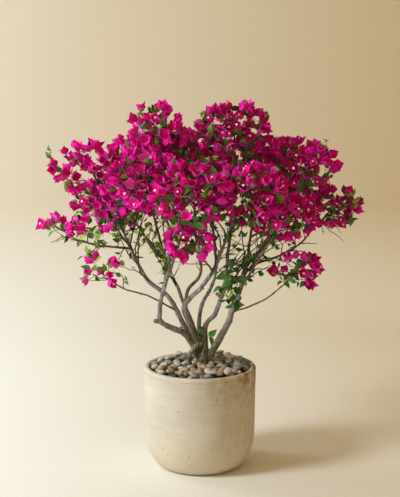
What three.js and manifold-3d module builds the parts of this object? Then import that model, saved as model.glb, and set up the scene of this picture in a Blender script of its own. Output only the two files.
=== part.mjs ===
// A flowering bougainvillea trained as a small many-stemmed tree, growing in a round stoneware
// pot that is dressed with river pebbles.
//
// Millimetres, +Z up. The origin is the centre of the pot's flat underside, +X is the plant's
// right and +Y its back. Stems rise from one fused foot, every limb carries one mass of twigs,
// leaves and bracts, and every mass keeps to a space of its own.
import * as THREE from 'three';
import { mergeVertices } from 'three/addons/utils/BufferGeometryUtils.js';
import Module from 'manifold-3d';

const wasm = await Module();
wasm.setup();

// ---------------------------------------------------------------- driving dimensions

const CLEAR = 0.3; // gap between two pieces that touch
const SLIVER = 0.03; // edges shorter than this are closed up
const TURN = 2 * Math.PI;

const POT = {
  radius: 165, // outside, at the rim
  waistRadius: 162, // outside, where the wall starts to curve in
  waistHeight: 110,
  footRadius: 107, // of the flat underside
  height: 300,
  wall: 16,
  floor: 18,
  rimRound: 5,
  facets: 40,
};

const SOIL_TOP = 272;

const PEBBLES = {
  bedEdge: 6, // depth of the bed at the pot's wall
  bedCrown: 36, // and round the trunk, where it is heaped
  wallGap: 1.2, // between the bed and the pot's wall
  bedFacets: 18,
  sliver: 0.1,
  rings: [60, 95, 128], // radii of the rings of stones
  spacing: 2.5, // of the stones in a ring, in their half lengths
  seat: 0.7, // height of a stone's middle over the bed, in its half thickness
  size: [20, 15, 11], // half length, width and thickness of a stone
  seed: 5,
};

const CLUMP = {
  centre: [8, 4], // of the trunk's foot
  fork: 372, // height at which the stems part
  flare: 9, // how much a foot widens at the ground
  flareHeight: 16,
  straight: 40, // height over which a foot rises upright
  sides: 7,
  legRings: 4,
  stub: 'stub', // a short dead prong of the trunk that ends below the fork
};

// Stems from the clump: foot gives its place round the trunk's centre, then the bends of its
// route, and the radii at the ground, at the fork and at its tip. Each ends in a mass.
const STEMS = [
  { name: 'stem_left_elbow', mass: 'mass_top_left', foot: [-16, -12], radii: [14, 9, 3.2],
    bends: [[-37, -18, 393], [-78, -30, 422], [-110, -40, 458], [-110, -46, 520], [-80, -50, 617],
      [-61, -48, 690], [-84, -34, 800]] },
  { name: 'stem_left_long', mass: 'mass_upper_left', foot: [-17, 12], radii: [12, 8, 3],
    bends: [[-38, 15, 396], [-95, 30, 499], [-154, 40, 545], [-193, 50, 615], [-233, 50, 711]] },
  { name: 'stem_centre', mass: 'mass_front_right', foot: [-2, -15], radii: [14, 8.5, 3.4],
    bends: [[-27, -10, 414], [-45, -12, 480], [4, -20, 538], [48, -30, 608], [77, -50, 693]] },
  { name: 'stem_back', mass: 'mass_back', foot: [5, 18], radii: [12, 6.5, 3],
    bends: [[-2, 34, 410], [6, 45, 471], [33, 52, 522], [48, 70, 579], [40, 120, 680]] },
  { name: 'stem_upright', mass: 'mass_top_right', foot: [13, 8], radii: [12, 7.5, 3],
    bends: [[17, 15, 411], [46, 15, 454], [67, 5, 516], [76, 0, 585], [88, 4, 700], [92, 10, 830]] },
  { name: 'stem_back_left', mass: 'mass_back_left', foot: [-8, 17], radii: [11, 6.5, 3],
    bends: [[-18, 45, 402], [-62, 92, 500], [-112, 140, 620]] },
  { name: 'stem_right', mass: 'mass_right', foot: [17, -6], radii: [14, 10, 3.4],
    bends: [[50, -5, 366], [83, -8, 432], [103, -15, 499], [121, -15, 543], [134, -12, 599],
      [181, 0, 650], [232, 12, 745]] },
  { name: 'stub', mass: 'mass_sprout', foot: [4, -17], radii: [10, 3.2, 3],
    bends: [[18, -20, 345], [24, -25, 371]] },
];

// Boughs that leave another limb at a given height on it.
const BOUGHS = [
  { name: 'bough_left_arm', from: 'stem_left_long', height: 640, mass: 'mass_far_left',
    radii: [3.6, 2], bends: [[-273, -10, 657], [-348, -35, 676]] },
  { name: 'bough_left_spur', from: 'bough_left_arm', height: 656, mass: 'mass_left_spur',
    radii: [2.6, 1.8], bends: [[-280, -45, 668]] },
  { name: 'bough_left_mid', from: 'stem_left_long', height: 690, mass: 'mass_left',
    radii: [3.4, 2.2], bends: [[-246, 20, 722]] },
  { name: 'bough_left_low', from: 'stem_left_long', height: 458, mass: 'mass_low_left',
    radii: [3.6, 2], bends: [[-106, -10, 488], [-151, -40, 516], [-218, -72, 544]] },
  { name: 'bough_centre_fork', from: 'stem_centre', height: 478, mass: 'mass_centre',
    radii: [5.5, 2.8], bends: [[-32, 12, 527], [4, 26, 580], [-14, 22, 700]] },
  { name: 'bough_inner_front', from: 'stem_centre', height: 585, mass: 'mass_inner_front',
    radii: [3.2, 2], bends: [[14, -72, 625]] },
  { name: 'bough_front_left', from: 'stem_left_elbow', height: 590, mass: 'mass_front',
    radii: [4, 2.6], bends: [[-84, -110, 672]] },
  { name: 'bough_mid_left', from: 'stem_left_elbow', height: 672, mass: 'mass_mid_left',
    radii: [3.8, 2.6], bends: [[-98, -66, 740]] },
  { name: 'bough_right_arm', from: 'stem_right', height: 578, mass: 'mass_far_right',
    radii: [4.2, 2.2], bends: [[178, 22, 605], [231, 24, 622], [290, 34, 655]] },
  { name: 'bough_right_front', from: 'stem_right', height: 522, mass: 'mass_right_front',
    radii: [4.2, 2.4], bends: [[146, -58, 590], [184, -92, 660]] },
  { name: 'bough_right_low', from: 'stem_right', height: 462, mass: 'mass_low_right',
    radii: [3.4, 2], bends: [[163, -25, 489], [203, -40, 515], [238, -52, 548]] },
  { name: 'bough_leaf_spray', from: 'stem_right', height: 444, mass: 'mass_leaf_spray',
    radii: [2.8, 1.8], bends: [[98, -56, 478]] },
  { name: 'bough_back_right', from: 'stem_right', height: 606, mass: 'mass_back_right',
    radii: [4.4, 2.8], bends: [[150, 70, 680]] },
  { name: 'bough_back_left_low', from: 'stem_back_left', height: 560, mass: 'mass_back_left_low',
    radii: [3.6, 2.2], bends: [[-150, 146, 640]] },
  { name: 'bough_back_right_low', from: 'bough_back_right', height: 672, mass: 'mass_back_right_low',
    radii: [3.2, 2.2], bends: [[208, 128, 695]] },
];

// Masses: the centre and half-extents of each one's space, and what fills it. A mass is
// flowery, with bracts at its twig tips, unless leafy says that it bears leaves alone.
const MASSES = {
  mass_top_left: { centre: [-130, 0, 998], reach: [84, 105, 78] },
  mass_top_right: { centre: [100, 0, 1000], reach: [110, 115, 78] },
  mass_upper_left: { centre: [-320, -10, 890], reach: [122, 92, 76] },
  mass_left: { centre: [-288, -35, 790], reach: [88, 92, 62] },
  mass_far_left: { centre: [-404, -60, 718], reach: [64, 58, 42] },
  mass_left_spur: { centre: [-298, -105, 704], reach: [52, 50, 38] },
  mass_low_left: { centre: [-285, -110, 606], reach: [66, 56, 72], leaves: 2 },
  mass_mid_left: { centre: [-150, -60, 862], reach: [120, 120, 92] },
  mass_centre: { centre: [-15, 10, 902], reach: [92, 105, 106] },
  mass_front: { centre: [-28, -190, 826], reach: [112, 96, 96] },
  mass_front_right: { centre: [130, -165, 826], reach: [116, 100, 102] },
  mass_right: { centre: [290, 20, 884], reach: [112, 112, 90] },
  mass_far_right: { centre: [394, 50, 766], reach: [96, 84, 64] },
  mass_right_front: { centre: [242, -115, 744], reach: [112, 100, 76] },
  mass_low_right: { centre: [276, -62, 612], reach: [80, 60, 70], leaves: 2 },
  mass_inner_front: { centre: [-28, -130, 690], reach: [72, 56, 58], leaves: 2 },
  mass_leaf_spray: { centre: [88, -88, 562], reach: [48, 44, 84], leafy: true },
  mass_back: { centre: [10, 230, 876], reach: [118, 105, 102] },
  mass_back_left: { centre: [-176, 190, 872], reach: [128, 110, 108] },
  mass_back_right: { centre: [196, 205, 866], reach: [126, 110, 108] },
  mass_back_left_low: { centre: [-232, 172, 752], reach: [104, 92, 66] },
  mass_back_right_low: { centre: [262, 190, 752], reach: [104, 92, 66] },
  mass_sprout: { centre: [30, -30, 404], reach: [40, 30, 30], leafy: true },
};

const GROWTH = {
  tries: 300, // places for heads that are tried in each space
  sprigsPerReach: 0.13, // sprigs in a mass for each millimetre of its mean reach
  joints: 14, // places along a mass's stem that twigs spring from
  sliver: 0.15,
  spacing: 0.7, // least distance between two heads, in blade lengths
  mostDraw: 0.5, // how far a head that does not fit is drawn in to the centre
  drawStep: 0.04,
  lift: 0.3, // how much heads turn up
  scatter: 0.35, // and how much they turn at random
  bract: { length: 80, width: 60, thickness: 2.4, cup: 7 },
  leaf: { length: 48, width: 31, thickness: 1.8, cup: 4 },
  widest: 0.46, // where a blade is widest, from its root to its tip
  notch: 0.2, // how far from its middle a head is notched between blades
  smallSpace: 0.6, // most of a small space's reach that a bract takes
  opening: [0.8, 1.15], // angle between a bract and its head's axis, in radians
  twigRadius: 1.9,
  twigTip: 1.1,
  shortWay: 0.3, // how much a twig prefers growth that lies near its limb
  ringStep: 50, // between the rings that a limb is drawn from
  stemRings: 5,
  stemBeyond: 0.45, // how far a mass's stem runs past the centre
  entry: 0.9, // where a limb ends, as a share of its mass's reach
  wallGap: 0.6, // from a blade to the wall of its space
  beadStep: 7,
  bladeGuard: 0.25, // share of a blade's width that is kept from limbs on each side
  facetGap: 1.35, // widening that keeps the usual gap on a faceted limb's flats
  seed: 71,
};

const FINISH = {
  stoneware: { color: 0xcbbd9f, roughness: 0.72 },
  soil: { color: 0x4a3a2b, roughness: 1 },
  pebble: { color: 0xa08a72, roughness: 0.55 },
  bark: { color: 0x84796d, roughness: 0.9 },
  bracts: { color: 0xb00d6e, roughness: 0.6 },
  foliage: { color: 0x3c6e2b, roughness: 0.6 },
};

// ---------------------------------------------------------------- small helpers

const v3 = (list) => new THREE.Vector3(...list);
const mix = THREE.MathUtils.lerp;

// A generator of numbers from 0 to 1 that gives the same run for the same seed.
function seeded(seed) {
  let state = seed;
  return () => {
    state = (state * 1664525 + 1013904223) % 4294967296;
    return state / 4294967296;
  };
}

function randomDirection(random) {
  const z = 2 * random() - 1;
  const angle = TURN * random();
  const flat = Math.sqrt(1 - z * z);
  return new THREE.Vector3(flat * Math.cos(angle), flat * Math.sin(angle), z);
}

// A unit vector across a direction.
function across(direction) {
  const other = Math.abs(direction.z) < 0.9 ? new THREE.Vector3(0, 0, 1) : new THREE.Vector3(1, 0, 0);
  return other.cross(direction).normalize();
}

// A closed three.js geometry as a solid.
function solid(geometry) {
  geometry.deleteAttribute('normal');
  geometry.deleteAttribute('uv');
  const merged = mergeVertices(geometry, 1e-4);
  return new wasm.Manifold(new wasm.Mesh({
    numProp: 3,
    vertProperties: merged.attributes.position.array,
    triVerts: new Uint32Array(merged.index.array),
  }));
}

const union = (solids) => wasm.Manifold.union(solids);

// Whether two solids run into each other.
function meets(a, b) {
  const [first, second] = [a.boundingBox(), b.boundingBox()];
  const apart = first.min.some((low, axis) => low > second.max[axis] || second.min[axis] > first.max[axis]);
  return !apart && !a.intersect(b).isEmpty();
}

// The largest of a solid's separate bodies, without edges or bends too small to matter.
function mainBody(made, sliver = SLIVER) {
  return made.simplify(sliver).asOriginal().simplify(sliver).decompose().reduce((a, b) => (b.volume() > a.volume() ? b : a));
}

function namedMesh(name, made, finish) {
  const { vertProperties, triVerts } = made.getMesh();
  const geometry = new THREE.BufferGeometry();
  geometry.setAttribute('position', new THREE.BufferAttribute(vertProperties, 3));
  geometry.setIndex(new THREE.BufferAttribute(triVerts, 1));
  geometry.computeVertexNormals();
  const material = new THREE.MeshStandardMaterial({ ...FINISH[finish], metalness: 0 });
  const mesh = new THREE.Mesh(geometry, material);
  mesh.name = name;
  return mesh;
}

// ---------------------------------------------------------------- pot, soil and pebbles

// The wall's profile from the foot to the height asked, set in from the outside by some distance.
function wallProfile(inset, bottom, top) {
  const steps = 5;
  const across = POT.waistRadius - POT.footRadius - inset;
  const corner = Array.from({ length: steps + 1 }, (_, i) => {
    const angle = (Math.PI / 2) * (1 - i / steps);
    const radius = POT.footRadius + across * Math.cos(angle);
    return new THREE.Vector2(radius, POT.waistHeight - (POT.waistHeight - bottom) * Math.sin(angle));
  });
  return [...corner, new THREE.Vector2(wallRadius(top) - inset, top)];
}

// The pot's outer radius at a height above its waist.
function wallRadius(height) {
  return mix(POT.waistRadius, POT.radius, (height - POT.waistHeight) / (POT.height - POT.waistHeight));
}

function makePot() {
  const rimStart = POT.height - POT.rimRound;
  const rimMiddle = POT.radius - POT.wall / 2;
  const halfFlat = POT.wall / 2 - POT.rimRound;
  const profile = [
    new THREE.Vector2(0, 0),
    ...wallProfile(0, 0, rimStart),
    new THREE.Vector2(rimMiddle + halfFlat + POT.rimRound * Math.SQRT1_2, rimStart + POT.rimRound * Math.SQRT1_2),
    new THREE.Vector2(rimMiddle + halfFlat, POT.height),
    new THREE.Vector2(rimMiddle - halfFlat, POT.height),
    new THREE.Vector2(rimMiddle - halfFlat - POT.rimRound * Math.SQRT1_2, rimStart + POT.rimRound * Math.SQRT1_2),
    ...wallProfile(POT.wall, POT.floor, rimStart).reverse(),
    new THREE.Vector2(0, POT.floor),
  ];
  return solid(new THREE.LatheGeometry(profile, POT.facets).rotateX(Math.PI / 2));
}

function makeSoil() {
  const profile = [
    new THREE.Vector2(0, POT.floor + CLEAR),
    ...wallProfile(POT.wall + CLEAR, POT.floor + CLEAR, SOIL_TOP),
    new THREE.Vector2(0, SOIL_TOP),
  ];
  return solid(new THREE.LatheGeometry(profile, POT.facets).rotateX(Math.PI / 2));
}

// Rings of flattened stones, heaped towards the trunk and half sunk in a bed of smaller grit.
function makePebbles(trunkSpace) {
  const random = seeded(PEBBLES.seed);
  const base = SOIL_TOP + CLEAR;
  const edge = wallRadius(SOIL_TOP) - POT.wall - PEBBLES.wallGap;
  const heightAt = (radius) => mix(PEBBLES.bedCrown, PEBBLES.bedEdge, radius / edge);
  const bed = new THREE.LatheGeometry([
    new THREE.Vector2(0, base),
    new THREE.Vector2(edge, base),
    new THREE.Vector2(edge, base + heightAt(edge)),
    new THREE.Vector2(0, base + heightAt(0)),
  ], PEBBLES.bedFacets).rotateX(Math.PI / 2);
  const stones = PEBBLES.rings.flatMap((radius) => {
    const count = Math.floor((TURN * radius) / (PEBBLES.spacing * PEBBLES.size[0]));
    return Array.from({ length: count }, (_, i) => {
      const stone = new THREE.IcosahedronGeometry(1, 0);
      const scale = PEBBLES.size.map((half) => half * mix(0.85, 1.1, random()));
      const turn = (TURN * (i + 0.3 * random())) / count;
      stone.scale(...scale);
      stone.rotateY(mix(-0.25, 0.25, random()));
      stone.rotateZ(turn + TURN / 4 + mix(-0.5, 0.5, random()));
      stone.translate(radius * Math.cos(turn), radius * Math.sin(turn), base + heightAt(radius) + PEBBLES.seat * scale[2]);
      return solid(stone);
    });
  });
  return mainBody(union([solid(bed), ...stones]).subtract(trunkSpace), PEBBLES.sliver);
}

// ---------------------------------------------------------------- limbs

const routeThrough = (points) => new THREE.CatmullRomCurve3(points, false, 'catmullrom', 0.5);

// A round tapering limb along part of a route: a cylinder whose rings are set across the curve.
function tube(route, [from, to], radiusAt, sides, rings, grow = 0, roll = 0) {
  const geometry = new THREE.CylinderGeometry(1, 1, 1, sides, rings);
  const place = geometry.attributes.position;
  const frames = [];
  let side = across(route.getTangent(from)).applyAxisAngle(route.getTangent(from), roll);
  for (let ring = 0; ring <= rings; ring++) {
    const u = mix(from, to, ring / rings);
    const along = route.getTangent(u);
    side = side.clone().addScaledVector(along, -side.dot(along)).normalize();
    frames.push({ at: route.getPoint(u), side, other: side.clone().cross(along), radius: radiusAt(u) + grow });
  }
  for (let i = 0; i < place.count; i++) {
    const frame = frames[Math.round((place.getY(i) + 0.5) * rings)];
    const at = frame.at.clone()
      .addScaledVector(frame.side, place.getX(i) * frame.radius)
      .addScaledVector(frame.other, place.getZ(i) * frame.radius);
    place.setXYZ(i, at.x, at.y, at.z);
  }
  return solid(geometry);
}

// The first place on a route, from 0 to 1, that is as high as asked.
function placeAtHeight(route, height) {
  const steps = 4000;
  for (let i = 0; i <= steps; i++) {
    if (route.getPoint(i / steps).z >= height) return i / steps;
  }
  return 1;
}

// The point where the line from a limb's last bend to a mass's centre enters the mass's space.
function entryPoint(mass, bend) {
  const line = v3(mass.centre).sub(bend);
  const reaches = line.clone().divide(v3(mass.reach)).length();
  return bend.clone().addScaledVector(line, 1 - GROWTH.entry / reaches);
}

// Points along a limb, with its radius there, that twigs and leaves keep clear of.
function beadsAlong(route, [from, to], radiusAt) {
  const count = Math.max(2, Math.ceil((route.getLength() * (to - from)) / GROWTH.beadStep));
  return Array.from({ length: count + 1 }, (_, i) => {
    const u = mix(from, to, i / count);
    return { at: route.getPoint(u), radius: radiusAt(u) };
  });
}

// The step along a route that leaves the usual gap after a place on it.
const gapAfter = (route, u) => (CLEAR * 1.05) / (route.getPoint(u).distanceTo(route.getPoint(u + 1e-3)) / 1e-3);

// Stems: one route each from its foot to its mass. The part below the fork is fused in the trunk.
function stemPlan({ name, mass, foot, bends, radii: [footRadius, forkRadius, tipRadius] }) {
  const [x, y] = [CLUMP.centre[0] + foot[0], CLUMP.centre[1] + foot[1]];
  const points = [[x, y, SOIL_TOP], [x, y, SOIL_TOP + CLUMP.straight], ...bends].map(v3);
  const whole = name !== CLUMP.stub;
  if (whole) points.push(entryPoint(MASSES[mass], points.at(-1)));
  const route = routeThrough(points);
  const fork = whole ? placeAtHeight(route, CLUMP.fork) : 1;
  const flareAt = (u) => CLUMP.flare * Math.exp((SOIL_TOP - route.getPoint(u).z) / CLUMP.flareHeight);
  const radiusAt = (u) => (u <= fork
    ? mix(footRadius, forkRadius, u / fork) + flareAt(u)
    : mix(forkRadius + flareAt(fork), tipRadius, (u - fork) / (1 - fork)));
  return { name, mass, route, fork, radiusAt, whole };
}

function makeTrunk(plans, grow = 0) {
  const legs = plans.map(({ route, fork, radiusAt }) => (
    tube(route, [0, fork], radiusAt, CLUMP.sides, CLUMP.legRings, grow)));
  return mainBody(union(legs).trimByPlane([0, 0, 1], grow ? 0 : SOIL_TOP + CLEAR));
}

// A bough's route from the axis of the limb that carries it.
function boughPlan({ name, mass, from, height, bends, radii: [baseRadius, tipRadius] }, limbs) {
  const parent = limbs.get(from);
  const start = parent.route.getPoint(placeAtHeight(parent.route, height));
  const points = [start, ...bends.map(v3)];
  points.push(entryPoint(MASSES[mass], points.at(-1)));
  return { name, mass, from, route: routeThrough(points), radiusAt: (u) => mix(baseRadius, tipRadius, u) };
}

const ringsOf = (route, span) => Math.max(4, Math.round((route.getLength() * (span[1] - span[0])) / GROWTH.ringStep));

function makeLimbs() {
  const limbs = new Map();
  const plans = STEMS.map(stemPlan);
  const trunk = { made: makeTrunk(plans), fat: makeTrunk(plans, CLEAR * GROWTH.facetGap) };
  const add = (plan, span, sides, carriers) => {
    const rings = ringsOf(plan.route, span);
    const shape = (grow) => tube(plan.route, span, plan.radiusAt, sides, rings, grow);
    const cut = carriers.reduce((made, carrier) => made.subtract(carrier), shape(0));
    limbs.set(plan.name, {
      ...plan, made: mainBody(cut), fat: shape(CLEAR * GROWTH.facetGap), beads: beadsAlong(plan.route, span, plan.radiusAt),
    });
  };
  for (const plan of plans.filter(({ whole }) => whole)) {
    const others = [...limbs.values()].map(({ fat }) => fat);
    add(plan, [plan.fork + gapAfter(plan.route, plan.fork), 1], 7, [trunk.fat, ...others]);
  }
  for (const bough of BOUGHS) {
    const plan = boughPlan(bough, limbs);
    add(plan, [0, 1], 6, [limbs.get(bough.from).fat]);
  }
  const trunkBeads = plans.flatMap(({ route, fork, radiusAt }) => beadsAlong(route, [0, fork], radiusAt));
  return { trunk, limbs, plans, trunkBeads };
}

// ---------------------------------------------------------------- masses

// The walls between a mass's space and its neighbours', as points with normals that face out.
// Each stands across the line between two centres, at a place shared out by their reaches.
function wallsOf(name) {
  const mass = MASSES[name];
  return Object.entries(MASSES).filter(([other]) => other !== name).map(([, neighbour]) => {
    const line = v3(neighbour.centre).sub(v3(mass.centre));
    const normal = line.clone().normalize();
    const own = 1 / normal.clone().divide(v3(mass.reach)).length();
    const theirs = 1 / normal.clone().divide(v3(neighbour.reach)).length();
    const point = v3(mass.centre).addScaledVector(line, own / (own + theirs));
    return { point, normal };
  });
}

// A flat eight-sided leaf from its root to its tip, folded up a little at its edges.
function leafBlade(root, along, face, { length, width, thickness, cup }) {
  const sideways = along.clone().cross(face).normalize();
  const up = sideways.clone().cross(along).normalize();
  const geometry = new THREE.OctahedronGeometry(1, 0);
  const place = geometry.attributes.position;
  for (let i = 0; i < place.count; i++) {
    const [x, y, z] = [place.getX(i), place.getY(i), place.getZ(i)];
    const reach = Math.abs(y) > 0.5 ? (y + 1) / 2 : GROWTH.widest;
    const at = root.clone()
      .addScaledVector(along, reach * length)
      .addScaledVector(sideways, (x * width) / 2)
      .addScaledVector(up, (z * thickness) / 2 + Math.abs(x) * cup);
    place.setXYZ(i, at.x, at.y, at.z);
  }
  return solid(geometry);
}

// The rim of a flower head: three blades stand round its axis, and each gives the rim a side, a
// tip and a side, with a notch between it and the next.
function headRim(tip, axis, roll, openings, { length, width, cup }) {
  return openings.flatMap((opening, petal) => {
    const out = across(axis).applyAxisAngle(axis, roll + (TURN * petal) / 3);
    const next = out.clone().applyAxisAngle(axis, TURN / 6);
    const along = axis.clone().multiplyScalar(Math.cos(opening)).addScaledVector(out, Math.sin(opening));
    const sideways = axis.clone().cross(out);
    const up = along.clone().cross(sideways);
    const middle = tip.clone().addScaledVector(along, GROWTH.widest * length).addScaledVector(up, cup);
    return [
      middle.clone().addScaledVector(sideways, -width / 2),
      tip.clone().addScaledVector(along, length),
      middle.clone().addScaledVector(sideways, width / 2),
      tip.clone().addScaledVector(next, GROWTH.notch * length).addScaledVector(axis, GROWTH.notch * length),
    ];
  });
}

// A three-sided twig that opens at its end into a flower head, as one body. The twig is swept back
// from the head, so that each of its edges ends under the middle of a blade.
function sprig(route, { tip, axis, out, rim }, thickness) {
  const [top, points, faces] = [0, [tip.clone().addScaledVector(axis, thickness)], []];
  const rimAt = (i) => 1 + (i % rim.length);
  const ringAt = (ring, i) => 1 + rim.length + 3 * ring + (i % 3);
  points.push(...rim);
  rim.forEach((_, i) => faces.push([top, rimAt(i), rimAt(i + 1)]));

  const rings = route.getLength() > GROWTH.ringStep ? 2 : 1;
  let side = out.clone();
  for (let ring = 0; ring <= rings; ring++) {
    const u = 1 - ring / rings;
    const along = route.getTangent(u);
    side = side.clone().addScaledVector(along, -side.dot(along)).normalize();
    const radius = mix(GROWTH.twigRadius, GROWTH.twigTip, u);
    for (let i = 0; i < 3; i++) {
      const edge = side.clone().applyAxisAngle(along, (TURN * i) / 3).multiplyScalar(radius);
      points.push(route.getPoint(u).add(edge));
      if (ring === 0) {
        for (let step = -1; step < 2; step++) faces.push([ringAt(0, i), rimAt(4 * i + 2 + step), rimAt(4 * i + 1 + step)]);
        faces.push([ringAt(0, i), ringAt(0, i + 1), rimAt(4 * i + 3)], [ringAt(0, i + 1), rimAt(4 * i + 4), rimAt(4 * i + 3)]);
      } else {
        const [a, b] = [ringAt(ring - 1, i), ringAt(ring - 1, i + 1)];
        const [c, d] = [ringAt(ring, i), ringAt(ring, i + 1)];
        faces.push([a, c, b], [b, c, d]);
      }
    }
  }
  faces.push([0, 1, 2].map((i) => ringAt(rings, 2 - i)));
  const geometry = new THREE.BufferGeometry().setFromPoints(points);
  geometry.setIndex(faces.flat());
  return solid(geometry);
}

// What a growing mass may do: whether a point is in its space, and whether a piece is clear of limbs.
function spaceOf(name, obstacles) {
  const mass = MASSES[name];
  const centre = v3(mass.centre);
  const reach = v3(mass.reach);
  const walls = wallsOf(name);
  const holds = (point) => (
    point.clone().sub(centre).divide(reach).length() <= 1
    && walls.every((wall) => point.clone().sub(wall.point).dot(wall.normal) < -GROWTH.wallGap));
  const near = obstacles.filter(({ at }) => at.clone().sub(centre).divide(reach).length() < 1.7);
  const clear = (from, to, halfWidth) => {
    const count = Math.max(1, Math.ceil(from.distanceTo(to) / GROWTH.beadStep));
    return Array.from({ length: count + 1 }, (_, i) => from.clone().lerp(to, i / count)).every((point) => (
      near.every(({ at, radius }) => at.distanceTo(point) > radius + halfWidth + GROWTH.beadStep / 2)));
  };
  return { centre, reach, holds, clear };
}

// A head near the place asked, drawn in towards the centre until the space holds it.
function headNear(space, direction, depth, axis, roll, openings, size) {
  for (let draw = 1; draw > GROWTH.mostDraw; draw -= GROWTH.drawStep) {
    const tip = space.centre.clone().add(direction.clone().multiply(space.reach).multiplyScalar(depth * draw));
    const rim = headRim(tip, axis, roll, openings, size);
    if (rim.every(space.holds) && rim.every((point) => space.clear(tip, point, size.width * GROWTH.bladeGuard))) {
      return { tip, axis, out: across(axis).applyAxisAngle(axis, roll), rim };
    }
  }
  return null;
}

// The bend of a twig: it leaves between its carrier's heading and its head, and ends along the axis.
function twigRoute({ at: from, heading }, { tip, axis }, thickness) {
  const end = tip.clone().addScaledVector(axis, -thickness);
  const reach = from.distanceTo(end);
  const straight = end.clone().sub(from).normalize();
  const leaving = from.clone().addScaledVector(heading, 0.06 * reach).addScaledVector(straight, 0.28 * reach);
  const arriving = end.clone().addScaledVector(axis, -0.3 * reach);
  return new THREE.CubicBezierCurve3(from, leaving, arriving, end);
}

// Grows one mass from the end of its limb. Places for heads are tried all round the space, the
// outer ones first, and each twig springs from the stem's nearest place that lets it pass.
function growMass(name, carrier, obstacles, random) {
  const mass = MASSES[name];
  const space = spaceOf(name, obstacles.filter(({ owner }) => owner !== name));
  const start = carrier.tip.clone().addScaledVector(carrier.heading, CLEAR * 1.05);
  const stem = stemRoute(name, start, carrier.heading);
  const joints = Array.from({ length: GROWTH.joints }, (_, i) => {
    const u = (i + 1) / GROWTH.joints;
    return { at: stem.getPoint(u), heading: stem.getTangent(u), back: u * stem.getLength() };
  });
  const full = mass.leafy ? GROWTH.leaf : GROWTH.bract;
  const meanReach = space.reach.dot(new THREE.Vector3(1, 1, 1)) / 3;
  const scale = Math.min(1, (GROWTH.smallSpace * Math.min(...mass.reach)) / full.length);
  const size = { ...full, length: full.length * scale, width: full.width * scale, cup: full.cup * scale };

  const sprigs = [];
  for (let i = 0; i < GROWTH.tries && sprigs.length < GROWTH.sprigsPerReach * meanReach; i++) {
    const direction = randomDirection(random);
    const depth = i < GROWTH.tries / 2 ? 1 : random();
    const axis = direction.clone().add(new THREE.Vector3(0, 0, GROWTH.lift))
      .addScaledVector(randomDirection(random), GROWTH.scatter).normalize();
    const roll = TURN * random();
    const openings = [random(), random(), random()].map((share) => mix(...GROWTH.opening, share));
    const head = headNear(space, direction, depth, axis, roll, openings, size);
    if (!head || sprigs.some(({ tip }) => tip.distanceTo(head.tip) < GROWTH.spacing * size.length)) continue;
    const cost = ({ at, back }) => at.distanceTo(head.tip) + GROWTH.shortWay * back;
    const nearest = [...joints].sort((a, b) => cost(a) - cost(b)).slice(0, 3);
    const route = nearest.map((joint) => twigRoute(joint, head, size.thickness))
      .find((tried) => twigIsClear(space, tried));
    if (!route) continue;
    const body = sprig(route, head, size.thickness);
    if (sprigs.every((other) => !meets(other.body, body))) sprigs.push({ tip: head.tip, route, body });
  }

  const leaves = [];
  for (const { route, body } of sprigs) {
    for (let n = 0; n < (mass.leaves ?? 1); n += 1 + random()) {
      const u = mix(0.25, 0.6, random());
      const heading = route.getTangent(u);
      const side = across(heading).applyAxisAngle(heading, TURN * random());
      const along = heading.multiplyScalar(0.45).add(side).normalize();
      const root = route.getPoint(u).addScaledVector(along, -GROWTH.twigRadius / 2);
      const tip = root.clone().addScaledVector(along, GROWTH.leaf.length);
      if (!space.holds(tip) || !space.clear(root, tip, GROWTH.leaf.width * GROWTH.bladeGuard)) continue;
      const leaf = leafBlade(root, along, new THREE.Vector3(0, 0, 1), GROWTH.leaf);
      const past = leaf.translate(along.clone().multiplyScalar(3 * GROWTH.twigRadius).toArray());
      const others = [...sprigs.filter((other) => other.route !== route).map(({ body }) => body), ...leaves];
      if (!meets(past, body) && others.every((other) => !meets(other, leaf))) leaves.push(leaf);
    }
  }
  const stemBody = tube(stem, [0, 1], (u) => mix(carrier.tipRadius, GROWTH.twigRadius, u), 5, GROWTH.stemRings);
  const pieces = [stemBody, ...sprigs.map(({ body }) => body), ...leaves];
  let made = mainBody(union(pieces), GROWTH.sliver);
  while (isPinched(made)) {
    pieces.pop();
    made = mainBody(union(pieces), GROWTH.sliver);
  }
  return made;
}

// Whether two vertices of a solid fall together, which would leave its skin pinched there.
function isPinched(made) {
  const { vertProperties, numVert } = made.getMesh();
  const places = new Set();
  for (let i = 0; i < numVert; i++) {
    places.add([...vertProperties.slice(3 * i, 3 * i + 3)].map((value) => value.toFixed(3)).join());
  }
  return places.size < numVert;
}

function twigIsClear(space, route) {
  const points = [0.25, 0.5, 0.75, 1].map((u) => route.getPoint(u));
  return points.every(space.holds)
    && points.slice(1).every((point, i) => space.clear(points[i], point, GROWTH.twigRadius));
}

// A mass's own stem goes on from its limb through the middle of the space.
function stemRoute(name, start, heading) {
  const centre = v3(MASSES[name].centre);
  const reach = start.distanceTo(centre);
  const beyond = centre.clone().sub(start).normalize().multiplyScalar(GROWTH.stemBeyond * reach);
  return routeThrough([start, start.clone().addScaledVector(heading, 0.3 * reach), centre, centre.clone().add(beyond)]);
}

// ---------------------------------------------------------------- the plant

const plant = new THREE.Group();
const { trunk, limbs, plans, trunkBeads } = makeLimbs();
plant.add(namedMesh('pot', makePot(), 'stoneware'));
plant.add(namedMesh('soil', makeSoil(), 'soil'));
plant.add(namedMesh('pebbles', makePebbles(trunk.fat), 'pebble'));
plant.add(namedMesh('trunk', trunk.made, 'bark'));
for (const [name, { made }] of limbs) plant.add(namedMesh(name, made, 'bark'));

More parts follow.
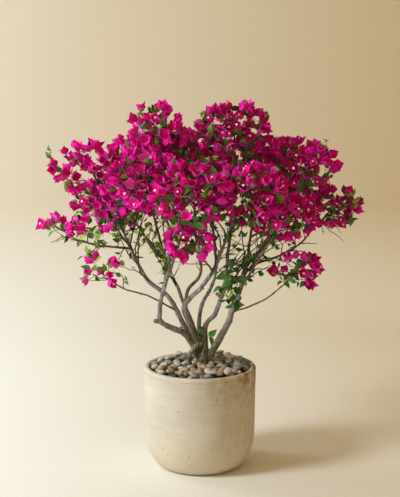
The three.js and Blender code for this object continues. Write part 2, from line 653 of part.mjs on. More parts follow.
const carriers = new Map([...limbs.values(), ...plans.filter(({ whole }) => !whole)].map((limb) => [limb.mass, {
  tip: limb.route.getPoint(1), heading: limb.route.getTangent(1), tipRadius: limb.radiusAt(1),
}]));
const obstacles = [...trunkBeads, ...[...limbs.values()].flatMap(({ beads }) => beads)];
for (const [name, { tip, heading, tipRadius }] of carriers) {
  const stemBeads = beadsAlong(stemRoute(name, tip, heading), [0, 1], () => tipRadius);
  obstacles.push(...stemBeads.map((bead) => ({ ...bead, owner: name })));
}
Object.keys(MASSES).forEach((name, order) => {
  const random = seeded(GROWTH.seed + 1000 * order);
  const finish = MASSES[name].leafy ? 'foliage' : 'bracts';
  plant.add(namedMesh(name, growMass(name, carriers.get(name), obstacles, random), finish));
});

export default plant;
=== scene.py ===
# %% [markdown]
# # A potted bougainvillea
#
# A small many-stemmed bougainvillea tree grows in a round stoneware pot that is dressed with river
# pebbles. Its solids already exist: they are loaded first, and they say where everything is. This
# lesson puts real surfaces on them: turned stoneware, heaped stones, bark with relief, and a crown
# in which every twig, leaf and papery bract grows on from the limb that carries it.
#
# All lengths are metres. +Z is up, +Y is the back, and the origin is the middle of the pot's foot.

# %% Load the solid model
import math
from collections import namedtuple

import bmesh
import bpy
import numpy as np
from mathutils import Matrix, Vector, noise


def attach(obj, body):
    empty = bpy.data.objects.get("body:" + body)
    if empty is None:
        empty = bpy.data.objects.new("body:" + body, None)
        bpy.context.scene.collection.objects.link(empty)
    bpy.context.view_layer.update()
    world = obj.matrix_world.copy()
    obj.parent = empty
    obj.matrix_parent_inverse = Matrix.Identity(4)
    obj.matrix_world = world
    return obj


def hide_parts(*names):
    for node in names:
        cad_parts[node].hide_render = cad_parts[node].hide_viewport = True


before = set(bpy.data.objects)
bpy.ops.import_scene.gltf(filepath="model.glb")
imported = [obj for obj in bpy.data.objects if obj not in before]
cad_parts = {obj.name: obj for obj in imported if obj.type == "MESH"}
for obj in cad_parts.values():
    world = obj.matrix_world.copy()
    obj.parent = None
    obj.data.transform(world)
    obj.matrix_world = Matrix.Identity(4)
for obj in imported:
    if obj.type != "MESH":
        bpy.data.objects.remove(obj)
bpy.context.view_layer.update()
noise.seed_set(1)  # without a seed, vector noise is different in every run
MM = 0.001
TURN = 2 * math.pi

# %% [markdown]
# ## The camera
#
# A long lens from well back keeps the pot's sides upright and the crown undistorted. The lens is
# worked out from the focal length in picture heights, and the camera looks down a little, so that
# the pebbles show inside the rim.

# %% Camera
PICTURE_HEIGHT = 497
FOCAL = 1200  # in the same units as the picture's height
CAMERA_PLACE = (0, -3.4496, 1.198)
LOOK_DOWN = 9.05  # degrees

camera_data = bpy.data.cameras.new("camera")
camera_data.sensor_width = 36
camera_data.lens = camera_data.sensor_width * FOCAL / PICTURE_HEIGHT
camera = bpy.data.objects.new("camera", camera_data)
camera.location = CAMERA_PLACE
camera.rotation_euler = (math.radians(90 - LOOK_DOWN), 0, 0)
bpy.context.scene.collection.objects.link(camera)
bpy.context.scene.camera = camera
bpy.context.scene.view_settings.view_transform = "Standard"
print("lens:", round(camera_data.lens, 1), "mm")

# %% [markdown]
# ## Helpers for materials
#
# A material here is a Principled shader whose colour, roughness and bump are fed by patterns. Three
# patterns serve nearly all of them, so each is built once as a node group with named inputs and
# outputs: a mottle of soft patches, a scatter of specks, and a fine relief for bumps.

# %% Node group helper
def pattern_group(name, inputs, output):
    """An empty node group with number inputs and one number output, and its two end nodes."""
    group = bpy.data.node_groups.new(name, "ShaderNodeTree")
    for label, value in inputs.items():
        kind = "NodeSocketVector" if isinstance(value, tuple) else "NodeSocketFloat"
        group.interface.new_socket(label, in_out="INPUT", socket_type=kind).default_value = value
    group.interface.new_socket(output, in_out="OUTPUT", socket_type="NodeSocketFloat")
    return group, group.nodes.new("NodeGroupInput"), group.nodes.new("NodeGroupOutput")


def add_node(tree, kind, wires=(), **settings):
    """A node with settings, and with (input, output it comes from) pairs wired to it."""
    node = tree.nodes.new(kind)
    for key, value in settings.items():
        setattr(node, key, value)
    for target, source in dict(wires).items():
        if isinstance(source, bpy.types.NodeSocket):
            tree.links.new(source, node.inputs[target])
        else:
            node.inputs[target].default_value = source
    return node


def stretched_place(tree, enter):
    """The surface's own coordinates, stretched by the group's Stretch input."""
    place = add_node(tree, "ShaderNodeTexCoord")
    return add_node(tree, "ShaderNodeVectorMath", {0: place.outputs["Object"], 1: enter.outputs["Stretch"]},
                    operation="MULTIPLY").outputs[0]


# %% The three patterns
MOTTLE, enter, leave = pattern_group(
    "Mottle", {"Scale": 30.0, "Detail": 4.0, "From": 0.35, "To": 0.65, "Stretch": (1.0, 1.0, 1.0)}, "Mask")
cloud = add_node(MOTTLE, "ShaderNodeTexNoise", {
    "Vector": stretched_place(MOTTLE, enter), "Scale": enter.outputs["Scale"],
    "Detail": enter.outputs["Detail"]})
spread = add_node(MOTTLE, "ShaderNodeMapRange", {
    "Value": cloud.outputs["Fac"], "From Min": enter.outputs["From"], "From Max": enter.outputs["To"]})
MOTTLE.links.new(spread.outputs["Result"], leave.inputs["Mask"])

SPECKS, enter, leave = pattern_group(
    "Specks", {"Scale": 120.0, "Size": 0.16, "Share": 0.3, "Stretch": (1.0, 1.0, 1.0)}, "Mask")
cells = add_node(SPECKS, "ShaderNodeTexVoronoi", {
    "Vector": stretched_place(SPECKS, enter), "Scale": enter.outputs["Scale"]})
near = add_node(SPECKS, "ShaderNodeMath", {0: cells.outputs["Distance"], 1: enter.outputs["Size"]},
                operation="LESS_THAN")
chosen = add_node(SPECKS, "ShaderNodeSeparateColor", {"Color": cells.outputs["Color"]})
some = add_node(SPECKS, "ShaderNodeMath", {0: chosen.outputs["Red"], 1: enter.outputs["Share"]},
                operation="LESS_THAN")
both = add_node(SPECKS, "ShaderNodeMath", {0: near.outputs[0], 1: some.outputs[0]}, operation="MULTIPLY")
SPECKS.links.new(both.outputs[0], leave.inputs["Mask"])

RELIEF, enter, leave = pattern_group(
    "Relief", {"Scale": 200.0, "Detail": 6.0, "Roughness": 0.6, "Stretch": (1.0, 1.0, 1.0)}, "Height")
grain = add_node(RELIEF, "ShaderNodeTexNoise", {
    "Vector": stretched_place(RELIEF, enter), "Scale": enter.outputs["Scale"],
    "Detail": enter.outputs["Detail"], "Roughness": enter.outputs["Roughness"]})
RELIEF.links.new(grain.outputs["Fac"], leave.inputs["Height"])
print("patterns:", MOTTLE.name, SPECKS.name, RELIEF.name)


# %% Material helper
def linear(red, green, blue):
    """A colour as a paint chart gives it, from 0 to 255, turned into the shader's own numbers."""
    share = np.array([red, green, blue]) / 255
    return (*np.where(share < 0.04045, share / 12.92, ((share + 0.055) / 1.055) ** 2.4), 1.0)


class Finish:
    """A material under construction: a Principled shader, and patterns that feed it."""

    def __init__(self, name, **constants):
        self.material = bpy.data.materials.new(name)
        self.material.use_nodes = True
        self.tree = self.material.node_tree
        self.shader = self.tree.nodes["Principled BSDF"]
        for label, value in constants.items():
            self.shader.inputs[label.replace("_", " ")].default_value = value

    def pattern(self, group, **values):
        """One of the shared patterns with its own values. Gives its output."""
        node = add_node(self.tree, "ShaderNodeGroup", node_tree=group)
        for label, value in values.items():
            node.inputs[label].default_value = value
        return node.outputs[0]

    def blend(self, mask, first, second, share=1.0):
        """Two colours mixed by a mask, or by a share of it."""
        if share < 1:
            mask = self.times(mask, share)
        mix = add_node(self.tree, "ShaderNodeMix", data_type="RGBA")
        for socket, source in ((mix.inputs["Factor"], mask), (mix.inputs[6], first), (mix.inputs[7], second)):
            if isinstance(source, bpy.types.NodeSocket):
                self.tree.links.new(source, socket)
            else:
                socket.default_value = source
        return mix.outputs[2]

    def ramp(self, axis, start, end):
        """A mask that goes from 0 to 1 between two places on the X, Y or Z axis."""
        place = add_node(self.tree, "ShaderNodeTexCoord")
        where = add_node(self.tree, "ShaderNodeSeparateXYZ", {0: place.outputs["Object"]})
        values = {"Value": where.outputs[axis], "From Min": start, "From Max": end}
        return add_node(self.tree, "ShaderNodeMapRange", values).outputs[0]

    def times(self, first, second):
        """One mask multiplied by another."""
        return add_node(self.tree, "ShaderNodeMath", {0: first, 1: second}, operation="MULTIPLY").outputs[0]

    def colour(self, source):
        """Feeds the shader's colour."""
        self.tree.links.new(source, self.shader.inputs["Base Color"])

    def roughness(self, mask, least, most):
        """Lets a mask spread the roughness between two values."""
        spread = add_node(self.tree, "ShaderNodeMapRange", {"Value": mask, "To Min": least, "To Max": most})
        self.tree.links.new(spread.outputs["Result"], self.shader.inputs["Roughness"])

    def bump(self, height, depth, strength=1.0):
        """Raises and lowers the surface's shading by a pattern of heights."""
        values = {"Height": height, "Distance": depth, "Strength": strength}
        node = add_node(self.tree, "ShaderNodeBump", values)
        self.tree.links.new(node.outputs["Normal"], self.shader.inputs["Normal"])


# %% [markdown]
# ## Helpers for meshes
#
# Most pieces are thousands of small forms joined into one mesh, so meshes are filled straight from
# arrays of points and triangles. Each piece then rides on the plant's one body, hides the solids that it
# stands for, and takes its finishes.

# %% Mesh helpers
def add_piece(name, mesh, materials, stands_for=()):
    """Puts a mesh into the scene as a piece of the plant."""
    for material in materials:
        mesh.materials.append(material)
    piece = bpy.data.objects.new(name, mesh)
    bpy.context.scene.collection.objects.link(piece)
    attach(piece, "root")
    if stands_for:
        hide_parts(*stands_for)
    print(f"{name}: {len(mesh.polygons)} faces")


def triangle_mesh(name, points, triangles, material_of=None):
    """A smooth mesh from an array of points and an array of triangles."""
    mesh = bpy.data.meshes.new(name)
    mesh.vertices.add(len(points))
    mesh.vertices.foreach_set("co", np.asarray(points, np.float32).ravel())
    mesh.loops.add(3 * len(triangles))
    mesh.loops.foreach_set("vertex_index", np.asarray(triangles, np.int32).ravel())
    mesh.polygons.add(len(triangles))
    mesh.polygons.foreach_set("loop_start", np.arange(0, 3 * len(triangles), 3, dtype=np.int32))
    if material_of is not None:
        mesh.polygons.foreach_set("material_index", np.asarray(material_of, np.int32))
    mesh.update(calc_edges=True)
    mesh.shade_smooth()
    return mesh


def add_joined(name, part, material, stands_for=()):
    """Puts one part, a pair of points and triangles, into the scene as a piece."""
    add_piece(name, triangle_mesh(name, *part), [material], stands_for)


def joined(parts):
    """Many (points, triangles) pairs as one."""
    offsets = np.cumsum([0, *(len(points) for points, _ in parts)])
    return (np.vstack([points for points, _ in parts]),
            np.vstack([faces + offset for (_, faces), offset in zip(parts, offsets)]))


# %% Spun meshes
def spun_mesh(name, outline, steps):
    """An outline of (radius, height) points spun round the Z axis into a closed mesh."""
    sketch = bmesh.new()
    chain = [sketch.verts.new((radius, 0, height)) for radius, height in outline]
    edges = [sketch.edges.new(pair) for pair in zip(chain, chain[1:])]
    bmesh.ops.spin(sketch, geom=chain + edges, cent=(0, 0, 0), axis=(0, 0, 1), angle=TURN, steps=steps,
                   use_merge=True)
    bmesh.ops.remove_doubles(sketch, verts=sketch.verts, dist=1e-6)
    bmesh.ops.recalc_face_normals(sketch, faces=sketch.faces)
    mesh = bpy.data.meshes.new(name)
    sketch.to_mesh(mesh)
    sketch.free()
    mesh.shade_smooth()
    return mesh


# %% Small sums with points
def unit(vectors):
    """Vectors of length one."""
    vectors = np.asarray(vectors, float)
    return vectors / np.maximum(np.linalg.norm(vectors, axis=-1, keepdims=True), 1e-12)


def mix(a, b, share):
    """The value that lies at a share of the way from a to b."""
    return a + (b - a) * share


def directions(random, count):
    """Directions spread evenly over all sides."""
    height = random.uniform(-1, 1, count)
    angle = random.uniform(0, TURN, count)
    flat = np.sqrt(1 - height ** 2)
    return np.column_stack([flat * np.cos(angle), flat * np.sin(angle), height])


def spun_about_z(points, angle):
    """Points turned round the Z axis."""
    c, s = math.cos(angle), math.sin(angle)
    return points @ np.array([[c, s, 0], [-s, c, 0], [0, 0, 1]])


# %% [markdown]
# ## Floor and light
#
# A round bowl of pale paper stands in for a studio: flat under the pot, then curving up all round,
# so that no line shows where floor meets wall, from any side. Its wall is see-through from behind,
# so a camera may stand outside it. One large soft lamp at the front left makes the left side bright
# and lets the shadow fall to the right and back, a small cool one brightens the paper behind it, and
# the weak warm light of the room fills the rest.

# %% Paper bowl
BOWL_FLOOR, BOWL_BEND, BOWL_HEIGHT = 1.9, 1.3, 5.0


def bowl_outline():
    """A floor, a quarter circle and a wall, as (radius, height) points."""
    bend = [(BOWL_FLOOR + BOWL_BEND * math.sin(a), BOWL_BEND * (1 - math.cos(a)))
            for a in np.linspace(0, math.pi / 2, 24)]
    return [(0, 0), *bend, (BOWL_FLOOR + BOWL_BEND, BOWL_HEIGHT)]


bowl_mesh = spun_mesh("paper_bowl", bowl_outline(), 96)
if min(bowl_mesh.polygons, key=lambda face: face.center.z).normal.z < 0:
    bowl_mesh.flip_normals()
bowl = bpy.data.objects.new("paper_bowl", bowl_mesh)
bowl.visible_shadow = False
bpy.context.scene.collection.objects.link(bowl)

paper = Finish("pale paper", Roughness=0.9, Specular_IOR_Level=0.1)
# Painted light and shade: the paper is painted palest on the floor and to the left, where the lamp falls, and
# darker and warmer up the wall and to the right.
upright = paper.ramp("Z", 0.0, 0.44)
cream = paper.blend(upright, linear(241, 246, 243), linear(229, 222, 206))
tan = paper.blend(upright, linear(238, 233, 213), linear(205, 188, 155))
paper.colour(paper.blend(paper.ramp("X", -1.1, 1.1), cream, tan))
behind = add_node(paper.tree, "ShaderNodeNewGeometry")
clear = add_node(paper.tree, "ShaderNodeBsdfTransparent")
either = add_node(paper.tree, "ShaderNodeMixShader", {
    "Fac": behind.outputs["Backfacing"], 1: paper.shader.outputs[0], 2: clear.outputs[0]})
paper.tree.links.new(either.outputs[0], paper.tree.nodes["Material Output"].inputs["Surface"])
bowl_mesh.materials.append(paper.material)
print("bowl reaches", BOWL_FLOOR + BOWL_BEND, "m out and", BOWL_HEIGHT, "m up")


# %% Lamps
def soft_lamp(name, place, aim, size, power, colour):
    """A round lamp that no camera sees, turned towards its aim."""
    lamp = bpy.data.lights.new(name, "AREA")
    lamp.shape, lamp.size, lamp.energy, lamp.color = "DISK", size, power, colour
    holder = bpy.data.objects.new(name, lamp)
    holder.location = place
    holder.rotation_euler = (Vector(aim) - Vector(place)).to_track_quat("-Z", "Y").to_euler()
    holder.visible_camera = False
    bpy.context.scene.collection.objects.link(holder)


soft_lamp("key", (-2.65, -1.3, 2.35), (0, 0, 0.5), 1.1, 95, (0.86, 0.925, 1.0))
soft_lamp("backdrop", (-2.0, 0.9, 2.3), (-1.3, 2.7, 0.3), 0.9, 26, (0.86, 0.96, 1.0))

world = bpy.data.worlds.new("studio")
world.use_nodes = True
world.node_tree.nodes["Background"].inputs["Color"].default_value = linear(255, 198, 118)
world.node_tree.nodes["Background"].inputs["Strength"].default_value = 0.42
bpy.context.scene.world = world
print("lamps and bowl are set")


# %% [markdown]
# ## The pot
#
# The pot is wheel-thrown stoneware with a straight side, a wide round shoulder down to the foot, and
# a soft rim. A wall of one thickness turned round an axis is exactly what Spin makes, so half of its
# outline is drawn once and spun. The heights and radii are those of the solid pot.

# %% Pot outline
RIM_RADIUS, WAIST_RADIUS, FOOT_RADIUS = 165 * MM, 162 * MM, 107 * MM
POT_HEIGHT, WAIST_HEIGHT = 300 * MM, 110 * MM
WALL, FLOOR, RIM_ROUND = 16 * MM, 18 * MM, 6.5 * MM
FOOT_ROUND = 2.5 * MM
RING_DEPTH, RING_SIZE = 0.12 * MM, 2.2 * MM  # of the level rings that the wheel leaves


def wall_radius(height):
    """The outer radius above the waist."""
    return mix(WAIST_RADIUS, RIM_RADIUS, (height - WAIST_HEIGHT) / (POT_HEIGHT - WAIST_HEIGHT))


def wall_outline(inset, bottom, top):
    """A wall's outline from the foot up: a quarter of an ellipse, then a side with faint rings."""
    corner = [(FOOT_RADIUS + (WAIST_RADIUS - FOOT_RADIUS - inset) * math.cos(a),
               WAIST_HEIGHT - (WAIST_HEIGHT - bottom) * math.sin(a))
              for a in np.linspace(math.pi / 2, 0, 20)]
    side = [(wall_radius(z) - inset + RING_DEPTH * math.sin(z / RING_SIZE), z)
            for z in np.linspace(WAIST_HEIGHT, top, 60)[1:]]
    return corner + side


rim_start = POT_HEIGHT - RIM_ROUND
rim_middle = wall_radius(rim_start) - WALL / 2
rim = []
for a in np.linspace(0, math.pi, 17)[1:-1]:
    across = math.copysign(WALL / 2 - RIM_ROUND, math.cos(a)) + RIM_ROUND * math.cos(a)
    rim.append((rim_middle + across, rim_start + RIM_ROUND * math.sin(a)))
outer = wall_outline(0, 0, rim_start)
outer[0] = (FOOT_RADIUS - FOOT_ROUND, 0.0)
outline = [(0, 0), *outer, *rim, *reversed(wall_outline(WALL, FLOOR, rim_start)), (0, FLOOR)]
print("pot outline has", len(outline), "points")

# %% [markdown]
# Dry, unglazed stoneware is never one colour. The clay is a warm grey-beige with broad pale clouds,
# the wheel leaves faint level bands, iron in the clay burns out as small dark specks, and water and
# hands leave a darker stain and faint streaks under the rim on one side. The side away from the lamp
# is darker and warmer, which is painted shade, and the foot is paler, which is painted light from the
# bright floor. It has almost no shine, and a fine tooth.

# %% Stoneware
stoneware = Finish("stoneware", Specular_IOR_Level=0.3)
clouds = stoneware.pattern(MOTTLE, Scale=11.0, Detail=6.0, From=0.36, To=0.66)
bands = stoneware.pattern(MOTTLE, Scale=26.0, Detail=5.0, From=0.3, To=0.75, Stretch=(0.25, 0.25, 2.2))
fine = stoneware.pattern(MOTTLE, Scale=420.0, Detail=3.0, From=0.3, To=0.8)
iron = stoneware.pattern(SPECKS, Scale=64.0, Size=0.12, Share=0.22)
grit = stoneware.pattern(SPECKS, Scale=210.0, Size=0.2, Share=0.34)
smudge = stoneware.pattern(MOTTLE, Scale=34.0, Detail=8.0, From=0.4, To=0.62)
streaks = stoneware.pattern(MOTTLE, Scale=120.0, Detail=6.0, From=0.42, To=0.7, Stretch=(1.0, 1.0, 0.3))
# The side away from the lamp: it takes painted shade, and it also holds the stain and the streaks.
right_side = stoneware.ramp("X", -0.03, 0.14)
stain = stoneware.times(stoneware.times(stoneware.ramp("Z", 0.2, 0.3), right_side), smudge)
ring = stoneware.times(stoneware.ramp("Z", 0.284, 0.287), stoneware.ramp("Z", 0.291, 0.288))
clay = stoneware.blend(clouds, linear(195, 187, 171), linear(214, 209, 197))
clay = stoneware.blend(bands, clay, linear(180, 168, 145), share=0.5)
# Painted shade: the side away from the lamp is painted darker and warmer.
clay = stoneware.blend(right_side, clay, linear(207, 185, 144), share=0.6)
# Painted light: the foot is painted paler and warmer, as if lit by the bright floor.
clay = stoneware.blend(stoneware.ramp("Z", 0.14, 0.03), clay, linear(226, 208, 174), share=0.5)
clay = stoneware.blend(stoneware.times(streaks, right_side), clay, linear(156, 138, 106), share=0.4)
clay = stoneware.blend(fine, clay, linear(222, 214, 196), share=0.5)
clay = stoneware.blend(grit, clay, linear(156, 136, 106), share=0.5)
clay = stoneware.blend(iron, clay, linear(92, 72, 50), share=0.8)
clay = stoneware.blend(stain, clay, linear(112, 90, 58), share=0.9)
clay = stoneware.blend(stoneware.times(ring, clouds), clay, linear(150, 124, 84), share=0.6)
stoneware.colour(clay)
stoneware.roughness(clouds, 0.62, 0.82)
stoneware.bump(stoneware.pattern(RELIEF, Scale=520.0, Detail=5.0), 0.5 * MM, 0.5)
pot_mesh = spun_mesh("stoneware_pot", outline, 128)
add_piece("stoneware_pot", pot_mesh, [stoneware.material], ["pot"])

# %% [markdown]
# ## Soil, grit and pebbles
#
# The soil fills the pot to two fingers' width under the rim. It keeps its own solid and only gets a
# crumbly dark finish. A bed of grit is heaped over it towards the trunk, and the river stones lie on
# that bed.

# %% Soil and the bed of grit
SOIL_TOP = 272 * MM
CLEAR = 0.3 * MM
bed_base = SOIL_TOP + CLEAR
bed_radius = wall_radius(SOIL_TOP) - WALL - 1.2 * MM
BED_EDGE, BED_CROWN = 18 * MM, 23 * MM
BED_LUMP, LUMP_FINENESS = 1.6 * MM, 120

soil = Finish("dark soil", Specular_IOR_Level=0.2)
crumbs = soil.pattern(MOTTLE, Scale=160.0, Detail=8.0, From=0.3, To=0.7)
soil.colour(soil.blend(crumbs, linear(46, 34, 24), linear(92, 70, 50)))
soil.roughness(crumbs, 0.85, 1.0)
soil.bump(soil.pattern(RELIEF, Scale=240.0, Detail=8.0), 2 * MM)
for node_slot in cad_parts["soil"].material_slots:
    node_slot.material = soil.material


def bed_height(radius):
    """How high the bed lies over the soil: heaped at the trunk, low at the wall."""
    return mix(BED_CROWN, BED_EDGE, np.minimum(radius / bed_radius, 1))


bed_outline = [(0, bed_base), (bed_radius, bed_base)]
bed_outline += [(r, bed_base + bed_height(r) - 2 * MM) for r in np.linspace(bed_radius, 0, 30)]
bed_mesh = spun_mesh("grit_bed", bed_outline, 90)
for point in bed_mesh.vertices:
    if point.co.z > bed_base + 1 * MM:
        point.co.z += BED_LUMP * noise.noise(point.co * LUMP_FINENESS)
grit_finish = Finish("dark grit", Specular_IOR_Level=0.3)
grains = grit_finish.pattern(SPECKS, Scale=330.0, Size=0.42, Share=0.6)
grit_finish.colour(grit_finish.blend(grains, linear(52, 42, 34), linear(112, 96, 80)))
grit_finish.roughness(grains, 0.9, 0.7)
grit_finish.bump(grains, 1.5 * MM)
add_piece("grit_bed", bed_mesh, [grit_finish.material], ["pebbles"])

# %% [markdown]
# River stones are flat, rounded and all different. Each starts as a small geodesic ball that is
# squashed to three half sizes and pushed in and out by slow noise. They are dropped one at a time:
# a stone comes to rest in the grit or on the stones that lie under it, and one that would lie above
# the heap is left out. That fills the pot with stones that really bear on each other.

# %% Drop the stones
STONE_HALF = np.array([14.2, 11.4, 8.6]) * MM
SMALLEST, LARGEST = 0.72, 1.18
BEDDED = 0.45  # how far a stone's middle stands over the grit, in half heights
BESIDE, ABOVE = 0.86, 0.95  # how near two round stones come, of the sum of their half sizes
TILT = 0.3
HEAP = 23 * MM  # how far the highest stones stand over the bed
Stone = namedtuple("Stone", "centre half turn tilt colour")


def ball_shape(rounds):
    """The points and triangles of a geodesic ball."""
    sketch = bmesh.new()
    bmesh.ops.create_icosphere(sketch, subdivisions=rounds, radius=1)
    points = np.array([v.co for v in sketch.verts])
    triangles = np.array([[v.index for v in f.verts] for f in sketch.faces])
    sketch.free()
    return points, triangles


def drop_stones(tries, random):
    """Stones that rest on the bed or on each other, inside the wall."""
    stones = []
    for _ in range(tries):
        half = STONE_HALF * random.uniform(SMALLEST, LARGEST, 3)
        flat = (half[0] + half[1]) / 2
        radius = (bed_radius - 0.92 * flat) * math.sqrt(random.random())
        angle = TURN * random.random()
        spot = np.array([radius * math.cos(angle), radius * math.sin(angle)])
        rest = bed_base + bed_height(radius) + BEDDED * half[2]
        for other in stones:
            touch = BESIDE * (flat + (other.half[0] + other.half[1]) / 2)
            apart = np.linalg.norm(spot - other.centre[:2]) / touch
            if apart < 1:
                rise = math.sqrt(1 - apart ** 2) * ABOVE * (half[2] + other.half[2])
                rest = max(rest, other.centre[2] + rise)
        if rest + 0.8 * half[2] > bed_base + bed_height(radius) + HEAP:
            continue
        stones.append(Stone(np.array([*spot, rest]), half, TURN * random.random(),
                            np.clip(random.normal(0, 0.2, 2), -TILT, TILT), random.random()))
    return stones


stones = drop_stones(2600, np.random.default_rng(11))
print(len(stones), "stones, top at", round(max(s.centre[2] + s.half[2] for s in stones), 3))

# %% [markdown]
# The stones come from one river but from many rocks: mostly tan, cream and peach, some grey and
# brown, a few slate. Each rock is its own material, cloudy with fine specks, and worn smooth enough
# for a soft shine.

# %% Stone colours
STONES = {  # name: (light, dark, how common)
    "tan river stone": ((182, 168, 142), (150, 134, 106), 0.28),
    "cream river stone": ((210, 202, 182), (184, 172, 148), 0.19),
    "peach river stone": ((198, 170, 144), (172, 142, 114), 0.12),
    "grey river stone": ((154, 158, 150), (116, 120, 112), 0.17),
    "olive river stone": ((136, 130, 104), (100, 94, 70), 0.11),
    "slate river stone": ((78, 102, 100), (44, 66, 66), 0.1),
    "blue river stone": ((76, 106, 126), (44, 72, 92), 0.03),
}


def stone_finish(name, light, dark):
    """One rock: cloudy between two tones, with dark flecks."""
    stone = Finish(name, Specular_IOR_Level=0.45)
    cloud = stone.pattern(MOTTLE, Scale=65.0, Detail=6.0, From=0.35, To=0.65, Stretch=(1.0, 1.0, 1.8))
    flecks = stone.pattern(SPECKS, Scale=420.0, Size=0.3, Share=0.2)
    rock = stone.blend(cloud, linear(*dark), linear(*light))
    stone.colour(stone.blend(flecks, rock, linear(*dark), share=0.5))
    stone.roughness(cloud, 0.42, 0.62)
    stone.bump(stone.pattern(RELIEF, Scale=600.0, Detail=3.0), 0.25 * MM, 0.4)
    return stone.material


# %% Pebble mesh
LUMPS = 0.1  # how much slow noise swells a stone

shape, faces = ball_shape(3)
limits = np.cumsum([common for *_, common in STONES.values()])
stone_points, stone_faces, stone_materials = [], [], []
for n, stone in enumerate(stones):
    lumps = np.array([noise.noise(Vector(p) * 1.1 + Vector((3.7 * n, 0, 0))) for p in shape])
    body = shape * (1 + LUMPS * lumps[:, None]) * stone.half
    body[:, 2] += body[:, 0] * stone.tilt[0] + body[:, 1] * stone.tilt[1]
    stone_faces.append(faces + len(shape) * n)
    stone_points.append(spun_about_z(body, stone.turn) + stone.centre)
    stone_materials.append(np.full(len(faces), np.searchsorted(limits[:-1], stone.colour)))
pebble_mesh = triangle_mesh("river_pebbles", np.vstack(stone_points), np.vstack(stone_faces),
                            np.concatenate(stone_materials))
add_piece("river_pebbles", pebble_mesh, [stone_finish(name, a, b) for name, (a, b, _) in STONES.items()],
          ["pebbles"])

# %% [markdown]
# ## The stems and boughs
#
# Seven stems and a short stub rise from one fused foot. Each follows a smooth route through a few
# bends, and ends where it enters the space of the mass of twigs that it carries; boughs leave the
# stems at a given height in the same way. The bends are in millimetres. They follow the solid stems,
# but the elbow at the left is drawn sharper than the solid one, because a mesh can carry a tighter
# turn, and the feet stand a little closer together and are slimmer.

# %% Routes
CLUMP_CENTRE = (8, 4)
RISES_FROM, BENDS_FROM = 272, 312  # a stem's lowest heights: it stands on the soil and starts straight
FORK_HEIGHT = 372 * MM
FLARE, FLARE_HEIGHT = 9 * MM, 16 * MM

STEMS = [  # name, mass, place of its foot, radii at the foot, the fork and the tip, bends
    ("stem_left_elbow", "mass_top_left", (-8, -8), (10.5, 9, 3.2),
     [(-37, -18, 391), (-80, -30, 418), (-112, -40, 440), (-117, -43, 458), (-110, -46, 520), (-80, -50, 617),
      (-61, -48, 690), (-84, -34, 800)]),
    ("stem_left_long", "mass_upper_left", (-9, 10), (10.5, 8, 3),
     [(-38, 15, 396), (-95, 30, 499), (-154, 40, 545), (-193, 50, 615), (-233, 50, 711)]),
    ("stem_centre", "mass_front_right", (-1, -12), (12, 8.5, 3.4),
     [(-27, -10, 414), (-45, -12, 480), (4, -20, 538), (48, -30, 608), (77, -50, 693)]),
    ("stem_back", "mass_back", (4, 15), (10.5, 6.5, 3),
     [(-2, 34, 410), (6, 45, 471), (33, 52, 522), (48, 70, 579), (40, 120, 680)]),
    ("stem_upright", "mass_top_right", (10, 7), (10.5, 7.5, 3),
     [(17, 15, 411), (46, 15, 454), (67, 5, 516), (76, 0, 585), (88, 4, 700), (92, 10, 830)]),
    ("stem_back_left", "mass_back_left", (-7, 14), (10, 6.5, 3),
     [(-18, 45, 402), (-62, 92, 500), (-112, 140, 620)]),
    ("stem_right", "mass_right", (13, -5), (12, 10, 3.4),
     [(50, -5, 366), (83, -8, 432), (103, -15, 499), (121, -15, 543), (134, -12, 599), (181, 0, 650),
      (232, 12, 745)]),
    ("stub", "mass_sprout", (4, -14), (7, 2.4, 2.2), [(8, -22, 340), (13, -27, 360)]),
]
BOUGHS = [  # name, limb that carries it, height there, mass, radii at base and tip, bends
    ("bough_left_arm", "stem_left_long", 640, "mass_far_left", (3.6, 2),
     [(-273, -10, 657), (-348, -35, 676)]),
    ("bough_left_spur", "bough_left_arm", 656, "mass_left_spur", (2.6, 1.8), [(-280, -45, 668)]),
    ("bough_left_mid", "stem_left_long", 690, "mass_left", (3.4, 2.2), [(-246, 20, 722)]),
    ("bough_left_low", "stem_left_long", 458, "mass_low_left", (3.0, 1.7),
     [(-106, -10, 488), (-151, -40, 516), (-218, -72, 544)]),
    ("bough_centre_fork", "stem_centre", 478, "mass_centre", (5.5, 2.8),
     [(-32, 12, 527), (4, 26, 580), (-14, 22, 700)]),
    ("bough_inner_front", "stem_centre", 585, "mass_inner_front", (3.2, 2), [(14, -72, 625)]),
    ("bough_front_left", "stem_left_elbow", 590, "mass_front", (4, 2.6), [(-84, -110, 672)]),
    ("bough_mid_left", "stem_left_elbow", 672, "mass_mid_left", (3.8, 2.6), [(-98, -66, 740)]),
    ("bough_right_arm", "stem_right", 578, "mass_far_right", (4.2, 2.2),
     [(178, 22, 605), (231, 24, 622), (290, 34, 655)]),
    ("bough_right_front", "stem_right", 522, "mass_right_front", (4.2, 2.4),
     [(146, -58, 590), (184, -92, 660)]),
    ("bough_right_low", "stem_right", 462, "mass_low_right", (2.8, 1.7),
     [(163, -25, 489), (203, -40, 515), (238, -52, 548)]),
    ("bough_leaf_spray", "stem_right", 444, "mass_leaf_spray", (2.8, 1.8), [(98, -56, 478)]),
    ("bough_back_right", "stem_right", 606, "mass_back_right", (4.4, 2.8), [(150, 70, 680)]),
    ("bough_back_left_low", "stem_back_left", 560, "mass_back_left_low", (3.6, 2.2), [(-150, 146, 640)]),
    ("bough_back_right_low", "bough_back_right", 672, "mass_back_right_low", (3.2, 2.2), [(208, 128, 695)]),
]

# %% [markdown]
# A mass is an ellipsoid of space that one limb's twigs may fill. Its centre and half sizes are given
# here in millimetres. Leafy masses bear leaves alone, the low ones carry extra leaves, and the outlying
# ones are airy, with their twig ends further apart.

# %% Masses
Mass = namedtuple("Mass", "centre reach leaves airy size")


